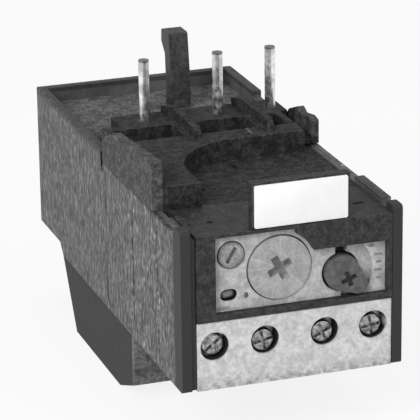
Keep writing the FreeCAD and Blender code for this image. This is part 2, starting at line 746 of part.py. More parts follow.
def mode_knob():
    """Turning knob with a pointer lobe; pressing it pushes the reset plunger."""
    piece = Piece("mode_knob")
    piece.pad("XZ", 0.3, 1.2, circle("knob_x", "knob_z", "knob_radius"))
    piece.pad("XZ", 0.3, 0.4, pointer_outline())
    piece.pad("XZ", 1.4, 6.0, circle("knob_x", "knob_z", 1.5))
    for turn in (20, 110):
        centre = ("knob_x + 1.3", "knob_z - 1.4")
        piece.cut("XZ", 0, 0.8, turned_slot(centre[0], centre[1], 1.5, 0.42, turn))


def pointer_outline():
    """Outline that runs tangent from the knob's round body to the round lobe."""
    heading = -40
    lean = math.degrees(math.acos((SIZES["knob_radius"] - SIZES["lobe_radius"]) / SIZES["lobe_reach"]))
    lobe_x = "knob_x + lobe_reach * cos(%g)" % heading
    lobe_z = "knob_z + lobe_reach * sin(%g)" % heading
    loop = []
    for angle in (heading + lean, heading - lean):
        body_point = ("knob_x + knob_radius * cos(%.6f)" % angle,
                      "knob_z + knob_radius * sin(%.6f)" % angle)
        lobe_point = ("%s + lobe_radius * cos(%.6f)" % (lobe_x, angle),
                      "%s + lobe_radius * sin(%.6f)" % (lobe_z, angle))
        loop.append((body_point, lobe_point))
    tip = ("%s + lobe_radius * cos(%g)" % (lobe_x, heading),
           "%s + lobe_radius * sin(%g)" % (lobe_z, heading))
    (upper_body, upper_lobe), (lower_body, lower_lobe) = loop
    return [upper_body, upper_lobe, lower_lobe + tip, lower_body]


def reset_plunger():
    """Plunger behind the knob: bore for its spigot, two stop ears and a stem."""
    piece = Piece("reset_plunger")
    piece.pad("XZ", 1.6, 5.3, circle("knob_x", "knob_z", "plunger_radius"))
    ears = ("knob_x - plunger_radius - 0.7", "knob_x + plunger_radius + 0.7")
    piece.box(ears, (5.9, 6.9), ("knob_z - 1.2", "knob_z + 1.2"))
    piece.pad("XZ", 6.8, 9.7, circle("knob_x", "knob_z", 1.9))
    piece.cut("XZ", 1, 6.8, circle("knob_x", "knob_z", "1.5 + running"))


def test_button():
    """Round test button with two stop ears and a stem towards the trip lever."""
    piece = Piece("test_button")
    piece.pad("XZ", 0.9, 5.8, circle("test_x", "test_z", "test_radius"))
    ears = ("test_x - test_radius - 0.6", "test_x + test_radius + 0.6")
    piece.box(ears, (5.8, 6.7), ("test_z - 0.9", "test_z + 0.9"))
    piece.pad("XZ", 6.6, 10.4, circle("test_x", "test_z", 1.4))
    piece.cut("XZ", 0, 1.5, turned_slot("test_x", "test_z", 1.7, 0.4, 60))


def coil_spring(label, x, z, start, end, radius, wire, turns):
    """Return spring round a stem: square-section wire on an eight-sided helix."""
    sides = 8
    count = turns * sides
    middle = FreeCAD.Vector(value(x), start, value(z))
    pitch = (end - start - wire) / count
    points = []
    for i in range(count + 1):
        angle = 2 * math.pi * i / sides
        arm = FreeCAD.Vector(radius * math.cos(angle), 0, radius * math.sin(angle))
        points.append(middle + arm + FreeCAD.Vector(0, pitch * i + wire / 2, 0))
    low, high = radius - wire / 2, radius + wire / 2
    corners = [(low, 0), (high, 0), (high, wire), (low, wire), (low, 0)]
    section = Part.makePolygon([middle + FreeCAD.Vector(a, b, 0) for a, b in corners])
    shell = Part.BRepOffsetAPI.MakePipeShell(Part.makePolygon(points))
    shell.setTransitionMode(1)
    shell.setFrenetMode(True)
    shell.add(section)
    shell.build()
    shell.makeSolid()
    coil = shell.shape()
    spring = doc.addObject("Part::Feature", label)
    spring.Label = label
    spring.Shape = coil
    place(spring)


# ---------------------------------------------------------------- trip mechanism


def mechanism_plate():
    """Shelf between the contacts and the mechanism, with the stems' bearing walls."""
    piece = Piece("mechanism_plate")
    edge = "wide / 2 - wall - fit_gap"
    piece.box(("-(%s)" % edge, edge), (5.8, 32.6), ("shelf_low", "shelf_top"))
    piece.box((-16.4, -9.4), (13, 14.4), ("shelf_top - 0.2", 29.4))
    piece.box((6.2, 14.2), (13, 14.4), ("shelf_top - 0.2", 26))
    corner = rectangle(("-wide / 2", "-wide / 2 + jamb + fit_gap"), (5, "cavity_front + fit_gap"))
    piece.cut("XY", 10, 10, corner)
    for x, z, stem in (("test_x", "test_z", 1.4), ("knob_x", "knob_z", 1.9)):
        half = "%g + running" % stem
        across = (plus(x, "-(%s)" % half), plus(x, half))
        piece.cut("XZ", 12, 3, rectangle(across, (plus(z, "-(%s)" % half), plus(z, half))))
    piece.cut("XZ", 12, 3, rectangle((-14.2, -10.8), (17.0, 20.1)))
    piece.cut("XY", 10, 10, rectangle((-3.2, 1.4), (15.6, 21.2)))
    piece.cut("XY", 10, 7, rectangle((-14.2, -10.8), (14.0, 18.9)))
    piece.cut("XY", 10, 10, circle("lever_x", "lever_y", 1.0))


def trip_lever_pin():
    """Upright pivot pin of the trip lever."""
    piece = Piece("trip_lever_pin")
    piece.pad("XY", "shelf_low", 14.2, circle("lever_x", "lever_y", 1.0))


def trip_lever():
    """Three-armed lever: test button on the left arm, carrier post on the right arm."""
    piece = Piece("trip_lever")
    piece.pad("XY", 21.6, 6.6, circle("lever_x", "lever_y", 2.4))
    piece.box((-13.8, "lever_x"), (19.0, 21.4), (25.2, 28.2))
    piece.box(("lever_x", -0.2), (20.6, 22.4), (25.2, 28.2))
    piece.box(("lever_x - 1.6", "lever_x + 1.6"), ("lever_y + 1", 27.2), (21.6, 26.2))
    piece.box(("lever_x - 0.6", "lever_x + 0.6"), (24.8, 28), (21, 27), "Pocket")
    piece.cut("XY", 20, 10, circle("lever_x", "lever_y", "1 + running"))


def compensating_strip():
    """Bimetal that makes up for the room's temperature, between the slider and the lever."""
    piece = Piece("compensating_strip")
    piece.box(("lever_x - 0.6", "lever_x + 0.6"), (24.8, 36.2), (22.0, 25.8))


def trip_slider():
    """Main slider: a finger beside each bimetal tip, and one that pushes the lever."""
    piece = Piece("trip_slider")
    piece.box((-13.6, 17.8), (38, 41), (26.3, 28.3))
    for phase in PHASES:
        piece.box((plus(phase, 0.65), plus(phase, 2.05)), (40.8, 46.6), (26.3, 28.0))
    piece.box((-10.9, "lever_x - 0.75"), (35.2, 37.8), (22.6, 28.3))
    piece.box((-10.9, "lever_x - 0.75"), (37, 38.2), (26.3, 28.3))
    piece.cut("XZ", 37, 5, circle(14.0, 27.3, 0.65))


def differential_slider():
    """Second slider, held back by a cold bimetal when one phase fails."""
    piece = Piece("differential_slider")
    piece.box((-17.6, 16.6), (38, 41), (23.9, 26.1))
    for phase in PHASES:
        piece.box((plus(phase, -2.05), plus(phase, -0.7)), (40.8, 46.6), (25.2, 26.1))
    piece.cut("XZ", 37, 5, octagon(14.0, 24.9, 0.65))


def differential_lever():
    """Small lever that adds the two sliders' travel."""
    piece = Piece("differential_lever")
    piece.box((12.9, 15.1), (36.3, 37.7), (22.2, 28.2))
    piece.pad("XZ", 37.5, 3.0, circle(14.0, 27.3, 0.6))
    piece.pad("XZ", 37.5, 2.0, octagon(14.0, 24.9, 0.25))


def contact_carrier():
    """Insulating slide that carries both contact bridges and stands up to the lever."""
    piece = Piece("contact_carrier")
    piece.box((-2.9, 3.3), (17.6, 23.4), (3.2, 12.6))
    piece.box((-14.6, -2.5), (18.0, 19.9), (6.8, 10.2))
    piece.box((2.9, 15.0), (20.85, 22.8), (6.8, 10.2))
    piece.box((-2.4, 0.6), (18.2, 20.4), (12.0, 27.6))


def nc_bridge():
    """Bridge of the opening contact, closed at rest."""
    piece = Piece("nc_bridge")
    piece.box((-17.4, -4.0), (19.9, 20.65), (7.2, 9.8))
    piece.pad("XZ", 20.6, 0.7, octagon("aux_x_a", 8.5, 1.2), octagon("aux_x_b", 8.5, 1.2))


def no_bridge():
    """Bridge of the closing contact, open at rest."""
    piece = Piece("no_bridge")
    piece.box((4.9, 18.2), (20.1, 20.85), (7.2, 9.8))
    piece.pad("XZ", 19.5, 0.7, octagon("aux_x_c", 8.5, 1.2), octagon("aux_x_d", 8.5, 1.2))


def trip_flag():
    """Flag that comes forward in its window when the contacts have tripped."""
    piece = Piece("trip_flag")
    piece.box((-13.3, -11.7), (6.0, 18.2), (17.6, 19.4))
    piece.box((-13.3, -11.7), (16.4, 18.0), (7.2, 17.8))


def build():
    fill_sheet()
    base_housing()
    terminal_housing()
    front_cover()
    dial_panel()
    aux_terminal_block()
    top_cover()
    rear_hook()
    label_carrier()
    label_plate()
    for number, (pin, phase) in enumerate(zip(PINS, PHASES), start=1):
        bus_pin(number, pin, phase)
        bimetal_strip(number, phase)
        insulating_sleeve(number, phase)
        heater_winding(number, phase)
        load_terminal(number, phase)
    load_clamps()
    load_screws()
    for number, (x, tab_back) in enumerate(zip(AUX, (22.75, 22.75, 16.9, 16.9)), start=1):
        aux_terminal(number, x, tab_back)
    aux_clamps()
    aux_screws()
    setting_dial()
    setting_cam()
    adjusting_lever()
    adjuster_pin()
    mode_knob()
    reset_plunger()
    test_button()
    coil_spring("reset_spring", "knob_x", "knob_z", 6.95, 12.95, 2.7, 0.4, 4)
    coil_spring("test_spring", "test_x", "test_z", 6.75, 12.95, 2.0, 0.35, 4)
    mechanism_plate()
    trip_lever_pin()
    trip_lever()
    compensating_strip()
    trip_slider()
    differential_slider()
    differential_lever()
    contact_carrier()
    nc_bridge()
    no_bridge()
    trip_flag()


def export():
    """Stops on any failed object, then writes each sub-part to its own STEP file."""
    doc.recompute()
    for thing in doc.Objects:
        if "Invalid" in thing.State or "Error" in thing.State:
            raise RuntimeError("%s did not compute: %s" % (thing.Label, thing.State))
    kinds = ("PartDesign::Body", "Part::Feature")
    pieces = [thing for thing in doc.Objects if thing.TypeId in kinds]
    for piece in pieces:
        if piece.Shape.isNull() or not piece.Shape.isValid():
            raise RuntimeError("%s has no valid shape" % piece.Label)
    os.makedirs("parts", exist_ok=True)
    for piece in pieces:
        piece.Shape.exportStep("parts/%s.step" % piece.Label)
        print("%-22s solids %d  volume %9.2f" % (
            piece.Label, len(piece.Shape.Solids), piece.Shape.Volume))
    whole = Part.makeCompound([piece.Shape for piece in pieces]).BoundBox
    print("overall", whole)


build()
export()
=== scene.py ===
import json
import math

import bpy
from mathutils import Matrix, Vector


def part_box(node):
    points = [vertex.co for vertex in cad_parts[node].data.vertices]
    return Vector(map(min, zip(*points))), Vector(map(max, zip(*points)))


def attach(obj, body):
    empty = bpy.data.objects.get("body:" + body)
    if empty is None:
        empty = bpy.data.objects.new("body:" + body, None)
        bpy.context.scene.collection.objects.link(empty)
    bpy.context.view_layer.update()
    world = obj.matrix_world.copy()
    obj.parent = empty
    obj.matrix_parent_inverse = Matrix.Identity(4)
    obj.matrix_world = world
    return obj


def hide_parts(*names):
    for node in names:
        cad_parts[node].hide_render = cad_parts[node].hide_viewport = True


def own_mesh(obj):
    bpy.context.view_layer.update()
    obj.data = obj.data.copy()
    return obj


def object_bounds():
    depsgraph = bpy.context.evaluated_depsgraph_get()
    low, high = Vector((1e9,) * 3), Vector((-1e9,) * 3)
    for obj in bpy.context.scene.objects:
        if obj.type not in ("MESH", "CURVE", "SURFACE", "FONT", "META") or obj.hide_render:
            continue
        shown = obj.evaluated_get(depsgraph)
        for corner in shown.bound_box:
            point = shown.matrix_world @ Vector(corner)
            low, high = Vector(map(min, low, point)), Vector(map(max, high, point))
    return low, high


bl_info = {
    "name": "Thermal overload relay",
    "version": (1, 0, 0),
    "blender": (4, 5, 0),
    "location": "View3D > Sidebar > Relay",
    "description": "Finishes and fine parts of a thermal overload relay",
    "category": "Object",
}

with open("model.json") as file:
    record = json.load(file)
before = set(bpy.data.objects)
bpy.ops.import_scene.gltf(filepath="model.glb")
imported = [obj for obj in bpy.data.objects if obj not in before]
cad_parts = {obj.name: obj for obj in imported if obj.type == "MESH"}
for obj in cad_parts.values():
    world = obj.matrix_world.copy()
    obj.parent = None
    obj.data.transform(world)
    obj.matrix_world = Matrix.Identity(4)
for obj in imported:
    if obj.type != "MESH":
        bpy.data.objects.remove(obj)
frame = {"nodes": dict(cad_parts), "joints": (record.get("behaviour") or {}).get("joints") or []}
CAD_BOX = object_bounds()

MM = 0.001
CORNER_LOW, CORNER_HIGH = (Vector(corner) for corner in CAD_BOX)
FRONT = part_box("aux_terminal_block")[0][1] - 0.3 * MM
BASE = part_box("aux_terminal_block")[0][2]


PAST_END = 1.0      # metres, beyond the relay in any direction
SMOOTH_BELOW = math.radians(30)      # flatter edges than this are shaded smooth


def spot(x, y, z):
    """A place given in millimetres from the front face and the front's lower edge."""
    return Vector((x * MM, FRONT + y * MM, BASE + z * MM))


def grey(level):
    return (level, level, level)


def scaled(colour, factor):
    return tuple(part * factor for part in colour)


# ---------------------------------------------------------------- sizes and colours


class RelaySizes(bpy.types.PropertyGroup):
    screw_recess: bpy.props.FloatProperty(
        name="Screw recess", description="Depth of the cross in the small screws",
        default=0.9 * MM, min=0.0002, unit="LENGTH")
    screw_edge: bpy.props.FloatProperty(
        name="Screw edge", description="Rounding round the small screws' heads",
        default=0.6 * MM, min=0.0001, unit="LENGTH")
    print_height: bpy.props.FloatProperty(
        name="Print height", description="How far printed marks stand out",
        default=0.02 * MM, min=0.00001, unit="LENGTH")
    label_corner: bpy.props.FloatProperty(
        name="Label corner", description="Rounding of the label's corners",
        default=0.35 * MM, min=0.0001, unit="LENGTH")
    edge_rounding: bpy.props.FloatProperty(
        name="Edge rounding", description="How round the mouldings' edges look",
        default=0.22 * MM, min=0.0, unit="LENGTH")


def colour_property(name, description, level):
    return bpy.props.FloatVectorProperty(
        name=name, description=description, subtype="COLOR", size=3, min=0, max=1,
        default=grey(level))


class RelayColours(bpy.types.PropertyGroup):
    wall: colour_property("Side wall", "Textured side walls", 0.120)
    cover: colour_property("Cover", "Smooth front and top covers", 0.028)
    terminal_housing: colour_property("Terminal housing", "Lower housing", 0.042)
    panel: colour_property("Panel", "Plate round the dial", 0.44)
    block: colour_property("Terminal block", "Block with the small screws", 0.57)
    dial: colour_property("Dial", "Setting dial", 0.34)
    knob: colour_property("Knob", "Mode knob and plunger", 0.085)
    button: colour_property("Button", "Test button", 0.28)
    label: colour_property("Label", "Bare label", 0.93)


# ---------------------------------------------------------------- node groups and finishes


def new_group(name, inputs, outputs):
    """An empty node group; each socket is given as (name, kind, default)."""
    group = bpy.data.node_groups.new(name, "ShaderNodeTree")
    for title, kind, default in inputs:
        socket = group.interface.new_socket(
            title, in_out="INPUT", socket_type="NodeSocket" + kind)
        if default is not None:
            socket.default_value = default
    for title, kind in outputs:
        group.interface.new_socket(title, in_out="OUTPUT", socket_type="NodeSocket" + kind)
    return group, group.nodes.new("NodeGroupInput"), group.nodes.new("NodeGroupOutput")


def add(tree, kind, wires=(), **settings):
    """A node with its settings; wires are (input, output socket or value)."""
    node = tree.nodes.new("ShaderNode" + kind)
    for key, setting in settings.items():
        setattr(node, key, setting)
    for target, source in wires:
        socket = node.inputs[target]
        if isinstance(source, bpy.types.NodeSocket):
            tree.links.new(source, socket)
        else:
            socket.default_value = source
    return node


def math_node(tree, operation, first, second=0.0, clamp=False):
    node = add(tree, "Math", [(0, first), (1, second)], operation=operation, use_clamp=clamp)
    return node.outputs[0]


def remap(tree, source, low, high, out_low=0.0, out_high=1.0):
    wires = [("Value", source), ("From Min", low), ("From Max", high),
             ("To Min", out_low), ("To Max", out_high)]
    return add(tree, "MapRange", wires).outputs["Result"]


def grain_group():
    """Moulded plastic: broad mottling, fine grain and a height for both."""
    group, given, result = new_group(
        "moulding_grain",
        [("Vector", "Vector", None), ("Patch Scale", "Float", 260.0),
         ("Grain Scale", "Float", 2600.0), ("Stretch", "Float", 1.0)],
        [("Patch", "Float"), ("Grain", "Float"), ("Height", "Float")])
    axes = add(group, "SeparateXYZ", [(0, given.outputs["Vector"])])
    tall = math_node(group, "DIVIDE", axes.outputs["Z"], given.outputs["Stretch"])
    place = add(group, "CombineXYZ", [
        (0, axes.outputs["X"]), (1, axes.outputs["Y"]), (2, tall)])
    patch = add(group, "TexNoise", [
        ("Vector", place.outputs[0]), ("Scale", given.outputs["Patch Scale"]),
        ("Detail", 3.0), ("Roughness", 0.6)])
    grain = add(group, "TexNoise", [
        ("Vector", place.outputs[0]), ("Scale", given.outputs["Grain Scale"]),
        ("Detail", 2.0), ("Roughness", 0.55)])
    both = math_node(group, "ADD", patch.outputs["Fac"], grain.outputs["Fac"])
    links = group.links
    links.new(remap(group, patch.outputs["Fac"], 0.38, 0.62), result.inputs["Patch"])
    links.new(remap(group, grain.outputs["Fac"], 0.38, 0.62), result.inputs["Grain"])
    links.new(both, result.inputs["Height"])
    return group


def speckle_group():
    """Sparse pale dashes, taller than wide, where a textured wall has been scuffed."""
    group, given, result = new_group(
        "scuff_specks",
        [("Vector", "Vector", None), ("Scale", "Float", 900.0), ("Amount", "Float", 0.2)],
        [("Mask", "Float")])
    tall = add(group, "VectorMath", [(0, given.outputs["Vector"]), (1, (1, 1, 0.45))],
               operation="MULTIPLY")
    cells = add(group, "TexVoronoi", [
        ("Vector", tall.outputs[0]), ("Scale", given.outputs["Scale"])])
    dots = remap(group, cells.outputs["Distance"], 0.42, 0.2)
    patches = add(group, "TexNoise", [
        ("Vector", given.outputs["Vector"]), ("Scale", 170.0), ("Detail", 2.0)])
    limit = math_node(group, "SUBTRACT", 0.72, given.outputs["Amount"])
    where = math_node(group, "SUBTRACT", patches.outputs["Fac"], limit)
    where = math_node(group, "MULTIPLY", where, 8.0, clamp=True)
    mask = math_node(group, "MULTIPLY", dots, where, clamp=True)
    group.links.new(mask, result.inputs["Mask"])
    return group


def between(group, value, low, high, soft):
    """Mask that is 1 between two levels of a value, with soft ends."""
    rise = math_node(group, "SUBTRACT", value, low)
    rise = math_node(group, "DIVIDE", rise, soft, clamp=True)
    fall = math_node(group, "SUBTRACT", high, value)
    fall = math_node(group, "DIVIDE", fall, soft, clamp=True)
    return math_node(group, "MULTIPLY", rise, fall)


def from_centre(group, given):
    """Where a point lies as seen from the group's centre."""
    return add(group, "VectorMath", [(0, given.outputs["Vector"]),
                                     (1, given.outputs["Centre"])],
               operation="SUBTRACT").outputs[0]


def band_group():
    """Mask that is 1 between two levels of a coordinate, with soft ends."""
    group, given, result = new_group(
        "soft_band",
        [("Value", "Float", 0.0), ("Low", "Float", 0.0), ("High", "Float", 1.0),
         ("Soft", "Float", 0.0003)],
        [("Mask", "Float")])
    mask = between(group, *(given.outputs[name] for name in ("Value", "Low", "High", "Soft")))
    group.links.new(mask, result.inputs["Mask"])
    return group


def bar_group():
    """Mask of a straight bar that lies across the Y axis at a given turn."""
    group, given, result = new_group(
        "turned_bar",
        [("Vector", "Vector", None), ("Centre", "Vector", None), ("Turn", "Float", 0.0),
         ("Half Length", "Float", 0.001), ("Half Width", "Float", 0.0005),
         ("Soft", "Float", 0.0002)],
        [("Mask", "Float")])
    axes = add(group, "SeparateXYZ", [(0, from_centre(group, given))]).outputs
    cosine = math_node(group, "COSINE", given.outputs["Turn"])
    sine = math_node(group, "SINE", given.outputs["Turn"])
    along = math_node(group, "ADD", math_node(group, "MULTIPLY", axes["X"], cosine),
                      math_node(group, "MULTIPLY", axes["Z"], sine))
    across = math_node(group, "SUBTRACT", math_node(group, "MULTIPLY", axes["Z"], cosine),
                       math_node(group, "MULTIPLY", axes["X"], sine))
    mask = 1.0
    for way, half in ((along, "Half Length"), (across, "Half Width")):
        inside = math_node(group, "SUBTRACT", given.outputs[half],
                           math_node(group, "ABSOLUTE", way))
        inside = math_node(group, "DIVIDE", inside, given.outputs["Soft"], clamp=True)
        mask = math_node(group, "MULTIPLY", inside, mask)
    group.links.new(mask, result.inputs["Mask"])
    return group


def ring_group():
    """Mask between two radii round an axis that runs along Y."""
    group, given, result = new_group(
        "round_zone",
        [("Vector", "Vector", None), ("Centre", "Vector", None), ("Inner", "Float", 0.0),
         ("Outer", "Float", 0.001), ("Soft", "Float", 0.0002)],
        [("Mask", "Float")])
    flat = add(group, "VectorMath", [(0, from_centre(group, given)), (1, (1, 0, 1))],
               operation="MULTIPLY")
    length = add(group, "VectorMath", [(0, flat.outputs[0])], operation="LENGTH")
    radius = length.outputs["Value"]
    limits = (given.outputs[name] for name in ("Inner", "Outer", "Soft"))
    mask = between(group, radius, *limits)
    group.links.new(mask, result.inputs["Mask"])
    return group


def wear_group():
    """Mask of a painted edge highlight: where the rounded normal leaves the flat one."""
    group, given, result = new_group(
        "edge_wear",
        [("Rounded Normal", "Vector", None), ("Surface Normal", "Vector", None),
         ("Breakup", "Float", 1.0)],
        [("Mask", "Float")])
    match = add(group, "VectorMath", [(0, given.outputs["Rounded Normal"]),
                                      (1, given.outputs["Surface Normal"])],
                operation="DOT_PRODUCT")
    edge = remap(group, match.outputs["Value"], 0.995, 0.93)
    group.links.new(math_node(group, "MULTIPLY", edge, given.outputs["Breakup"], clamp=True),
                    result.inputs["Mask"])
    return group


GROUPS = {}


def place_group(tree, name, wires):
    return add(tree, "Group", wires, node_tree=GROUPS[name])


class Finish:
    """A material under construction: object coordinates, a shader and a running colour."""

    def __init__(self, name, colour, roughness, metallic=0.0, specular=0.5):
        self.material = bpy.data.materials.new(name)
        self.material.use_nodes = True
        self.tree = self.material.node_tree
        self.shader = self.tree.nodes["Principled BSDF"]
        self.shader.inputs["Metallic"].default_value = metallic
        self.shader.inputs["Specular IOR Level"].default_value = specular
        self.shader.inputs["Roughness"].default_value = roughness
        self.shader.inputs["Base Color"].default_value = (*colour, 1.0)
        self.place = add(self.tree, "TexCoord").outputs["Object"]
        self.axes = add(self.tree, "SeparateXYZ", [(0, self.place)]).outputs
        self.colour = None
        self.base = (*colour, 1.0)

    def shade(self, mask, factor):
        """Multiplies the colour by factor where the mask is 1."""
        level = remap(self.tree, mask, 0.0, 1.0, 1.0, factor)
        source = self.colour or self.base
        tint = add(self.tree, "CombineColor", [(0, level), (1, level), (2, level)])
        node = add(self.tree, "Mix", data_type="RGBA", blend_type="MULTIPLY")
        node.inputs["Factor"].default_value = 1.0
        self.wire(node.inputs[6], source)
        self.tree.links.new(tint.outputs[0], node.inputs[7])
        self.colour = node.outputs[2]

    def paint(self, mask, colour):
        """Replaces the colour where the mask is 1."""
        node = add(self.tree, "Mix", data_type="RGBA")
        self.tree.links.new(mask, node.inputs["Factor"])
        self.wire(node.inputs[6], self.colour or self.base)
        node.inputs[7].default_value = (*colour, 1.0)
        self.colour = node.outputs[2]

    def wire(self, socket, source):
        if isinstance(source, bpy.types.NodeSocket):
            self.tree.links.new(source, socket)
        else:
            socket.default_value = source

    def band(self, axis, low, high, soft=0.3 * MM):
        """Mask between two levels of one axis (0, 1 or 2)."""
        wires = [("Value", self.axes[axis]), ("Low", low), ("High", high), ("Soft", soft)]
        return place_group(self.tree, "soft_band", wires).outputs["Mask"]

    def bar(self, centre, turn, half_length, half_width, soft=0.2 * MM):
        """Mask of a bar on the front, turned by degrees against the clock."""
        wires = [("Vector", self.place), ("Centre", centre), ("Turn", math.radians(turn)),
                 ("Half Length", half_length), ("Half Width", half_width), ("Soft", soft)]
        return place_group(self.tree, "turned_bar", wires).outputs["Mask"]

    def ring(self, centre, inner, outer, soft=0.2 * MM):
        """Mask between two radii on the front."""
        wires = [("Vector", self.place), ("Centre", centre), ("Inner", inner),
                 ("Outer", outer), ("Soft", soft)]
        return place_group(self.tree, "round_zone", wires).outputs["Mask"]

    def box(self, low, high, soft=0.2 * MM):
        """Mask of a box between two corners."""
        mask = 1.0
        for axis in range(3):
            band = self.band(axis, low[axis], high[axis], soft)
            mask = math_node(self.tree, "MULTIPLY", band, mask)
        return mask

    def wear(self, radius, breakup, factor):
        """Lightens the edges with a painted highlight."""
        rounded = add(self.tree, "Bevel", [("Radius", radius)], samples=6)
        surface = add(self.tree, "NewGeometry")
        wires = [("Rounded Normal", rounded.outputs[0]),
                 ("Surface Normal", surface.outputs["Normal"]), ("Breakup", breakup)]
        self.shade(place_group(self.tree, "edge_wear", wires).outputs["Mask"], factor)

    def grain(self, patch_scale, grain_scale, stretch=1.0):
        wires = [("Vector", self.place), ("Patch Scale", patch_scale),
                 ("Grain Scale", grain_scale), ("Stretch", stretch)]
        return place_group(self.tree, "moulding_grain", wires).outputs

    def relief(self, height, depth, rounding=None):
        """Bump from a height, on normals rounded over the part's sharp edges."""
        bump = add(self.tree, "Bump", [
            ("Height", height), ("Strength", 1.0), ("Distance", depth)])
        if rounding:
            edge = add(self.tree, "Bevel", [("Radius", rounding)], samples=6)
            self.tree.links.new(edge.outputs[0], bump.inputs["Normal"])
        self.tree.links.new(bump.outputs[0], self.shader.inputs["Normal"])

    def done(self):
        if self.colour:
            self.tree.links.new(self.colour, self.shader.inputs["Base Color"])
        return self.material


def moulding(name, colour, roughness, patch=(0.85, 1.15), grain=(0.92, 1.08),
             scales=(260, 2600), depth=0.02 * MM, rounding=0.22 * MM, specular=0.4,
             edge_highlight_factor=None, extra=None):
    """Moulded plastic with mottled colour, grain and softly rounded edges.

    patch and grain give the least and the greatest share of the colour.
    """
    finish = Finish(name, colour, roughness, specular=specular)
    outputs = finish.grain(*scales)
    finish.base = (*scaled(colour, patch[0] * grain[0]), 1.0)
    finish.shade(outputs["Patch"], patch[1] / patch[0])
    finish.shade(outputs["Grain"], grain[1] / grain[0])
    if extra:
        extra(finish)
    # a painted highlight along the rounded edges
    if edge_highlight_factor:
        finish.wear(rounding, outputs["Patch"], edge_highlight_factor)
    rough = remap(finish.tree, outputs["Patch"], 0.0, 1.0, roughness - 0.06, roughness + 0.06)
    finish.tree.links.new(rough, finish.shader.inputs["Roughness"])
    finish.relief(outputs["Height"], depth, rounding)
    return finish.done()


def metal(name, colour, roughness, scales=(700, 5000), depth=0.006 * MM,
          rounding=0.08 * MM, stain=1.28, extra=None):
    """Plated or rolled metal, stained in patches, smooth where depth is None."""
    finish = Finish(name, colour, roughness, metallic=1.0)
    outputs = finish.grain(*scales)
    start = 1.8914 / (1 + stain)     # keeps the mean colour about as given
    finish.base = (*scaled(colour, start), 1.0)
    finish.shade(outputs["Patch"], stain)
    if extra:
        extra(finish)
    rough = remap(finish.tree, outputs["Grain"], 0.0, 1.0, roughness - 0.07, roughness + 0.1)
    finish.tree.links.new(rough, finish.shader.inputs["Roughness"])
    if depth:
        finish.relief(outputs["Height"], depth, rounding)
    return finish.done()


def give(node, material):
    """Puts one material on a CAD node."""
    thing = frame["nodes"][node]
    thing.data.materials.clear()
    thing.data.materials.append(material)


# ---------------------------------------------------------------- mesh helpers


def deselect_all():
    if bpy.context.object and bpy.context.object.mode != "OBJECT":
        bpy.ops.object.mode_set(mode="OBJECT")
    bpy.ops.object.select_all(action="DESELECT")


def finish_piece(thing, name, material, body):
    """Applies the place, names the piece and makes it ride on its body."""
    deselect_all()
    thing.select_set(True)
    bpy.context.view_layer.objects.active = thing
    bpy.ops.object.transform_apply(location=True, rotation=True, scale=True)
    bpy.ops.object.shade_smooth_by_angle(angle=SMOOTH_BELOW)
    thing.name = name
    thing.data.name = name
    thing.data.materials.clear()
    thing.data.materials.append(material)
    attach(thing, body)
    return thing


def cylinder(radius, depth, at, vertices):
    """A round bar along Y whose middle is at the given place."""
    deselect_all()
    bpy.ops.mesh.primitive_cylinder_add(
        vertices=vertices, radius=radius, depth=depth, location=at,
        rotation=(math.pi / 2, 0, 0))
    return bpy.context.object


def block(size, at, turn=(0, 0, 0)):
    deselect_all()
    bpy.ops.mesh.primitive_cube_add(size=1, location=at, rotation=turn)
    thing = bpy.context.object
    thing.scale = size
    return thing


def bevel_where(thing, wanted, **settings):
    """Bevels the edges whose two ends pass a test."""
    bpy.ops.object.mode_set(mode="EDIT")
    bpy.ops.mesh.select_mode(type="EDGE")
    bpy.ops.mesh.select_all(action="DESELECT")
    bpy.ops.object.mode_set(mode="OBJECT")
    for edge in thing.data.edges:
        edge.select = wanted(*(thing.data.vertices[i].co for i in edge.vertices))
    bpy.ops.object.mode_set(mode="EDIT")
    bpy.ops.mesh.bevel(**settings)
    bpy.ops.object.mode_set(mode="OBJECT")


def round_edges(thing, axis, offset, segments):
    """Bevels the edges that run along one axis of a block."""
    def runs_along(a, b):
        return abs((b - a)[axis]) > 0.99 * (b - a).length
    bevel_where(thing, runs_along, offset=offset, segments=segments)


def modify(thing, kind, **settings):
    """Adds a modifier and applies it."""
    deselect_all()
    thing.select_set(True)
    bpy.context.view_layer.objects.active = thing
    modifier = thing.modifiers.new(kind.lower(), kind)
    for key, setting in settings.items():
        setattr(modifier, key, setting)
    bpy.ops.object.modifier_apply(modifier=modifier.name)


def carve(thing, cutters):
    """Takes each cutter out of the piece and removes the cutter."""
    for cutter in cutters:
        modify(thing, "BOOLEAN", operation="DIFFERENCE", object=cutter, solver="EXACT")
        bpy.data.objects.remove(cutter)


def join(things):
    deselect_all()
    for thing in things:
        thing.select_set(True)
    bpy.context.view_layer.objects.active = things[0]
    bpy.ops.object.join()
    return bpy.context.object


def joint_named(name):
    for joint in frame["joints"]:
        if joint["name"] == name:
            return joint
    raise RuntimeError("no joint is called " + name)


def joint_place(name):
    """Where a joint's axis stands."""
    return Vector(joint_named(name)["pos_m"])


def corners(node):
    return [Vector(corner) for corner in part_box(node)]


def middle(node):
    low, high = corners(node)
    return (low + high) / 2


def block_between(low, high):
    """A block between two corners, its scale applied."""
    thing = block(high - low, (low + high) / 2)
    bpy.ops.object.transform_apply(location=False, rotation=False, scale=True)
    return thing


# ---------------------------------------------------------------- stage


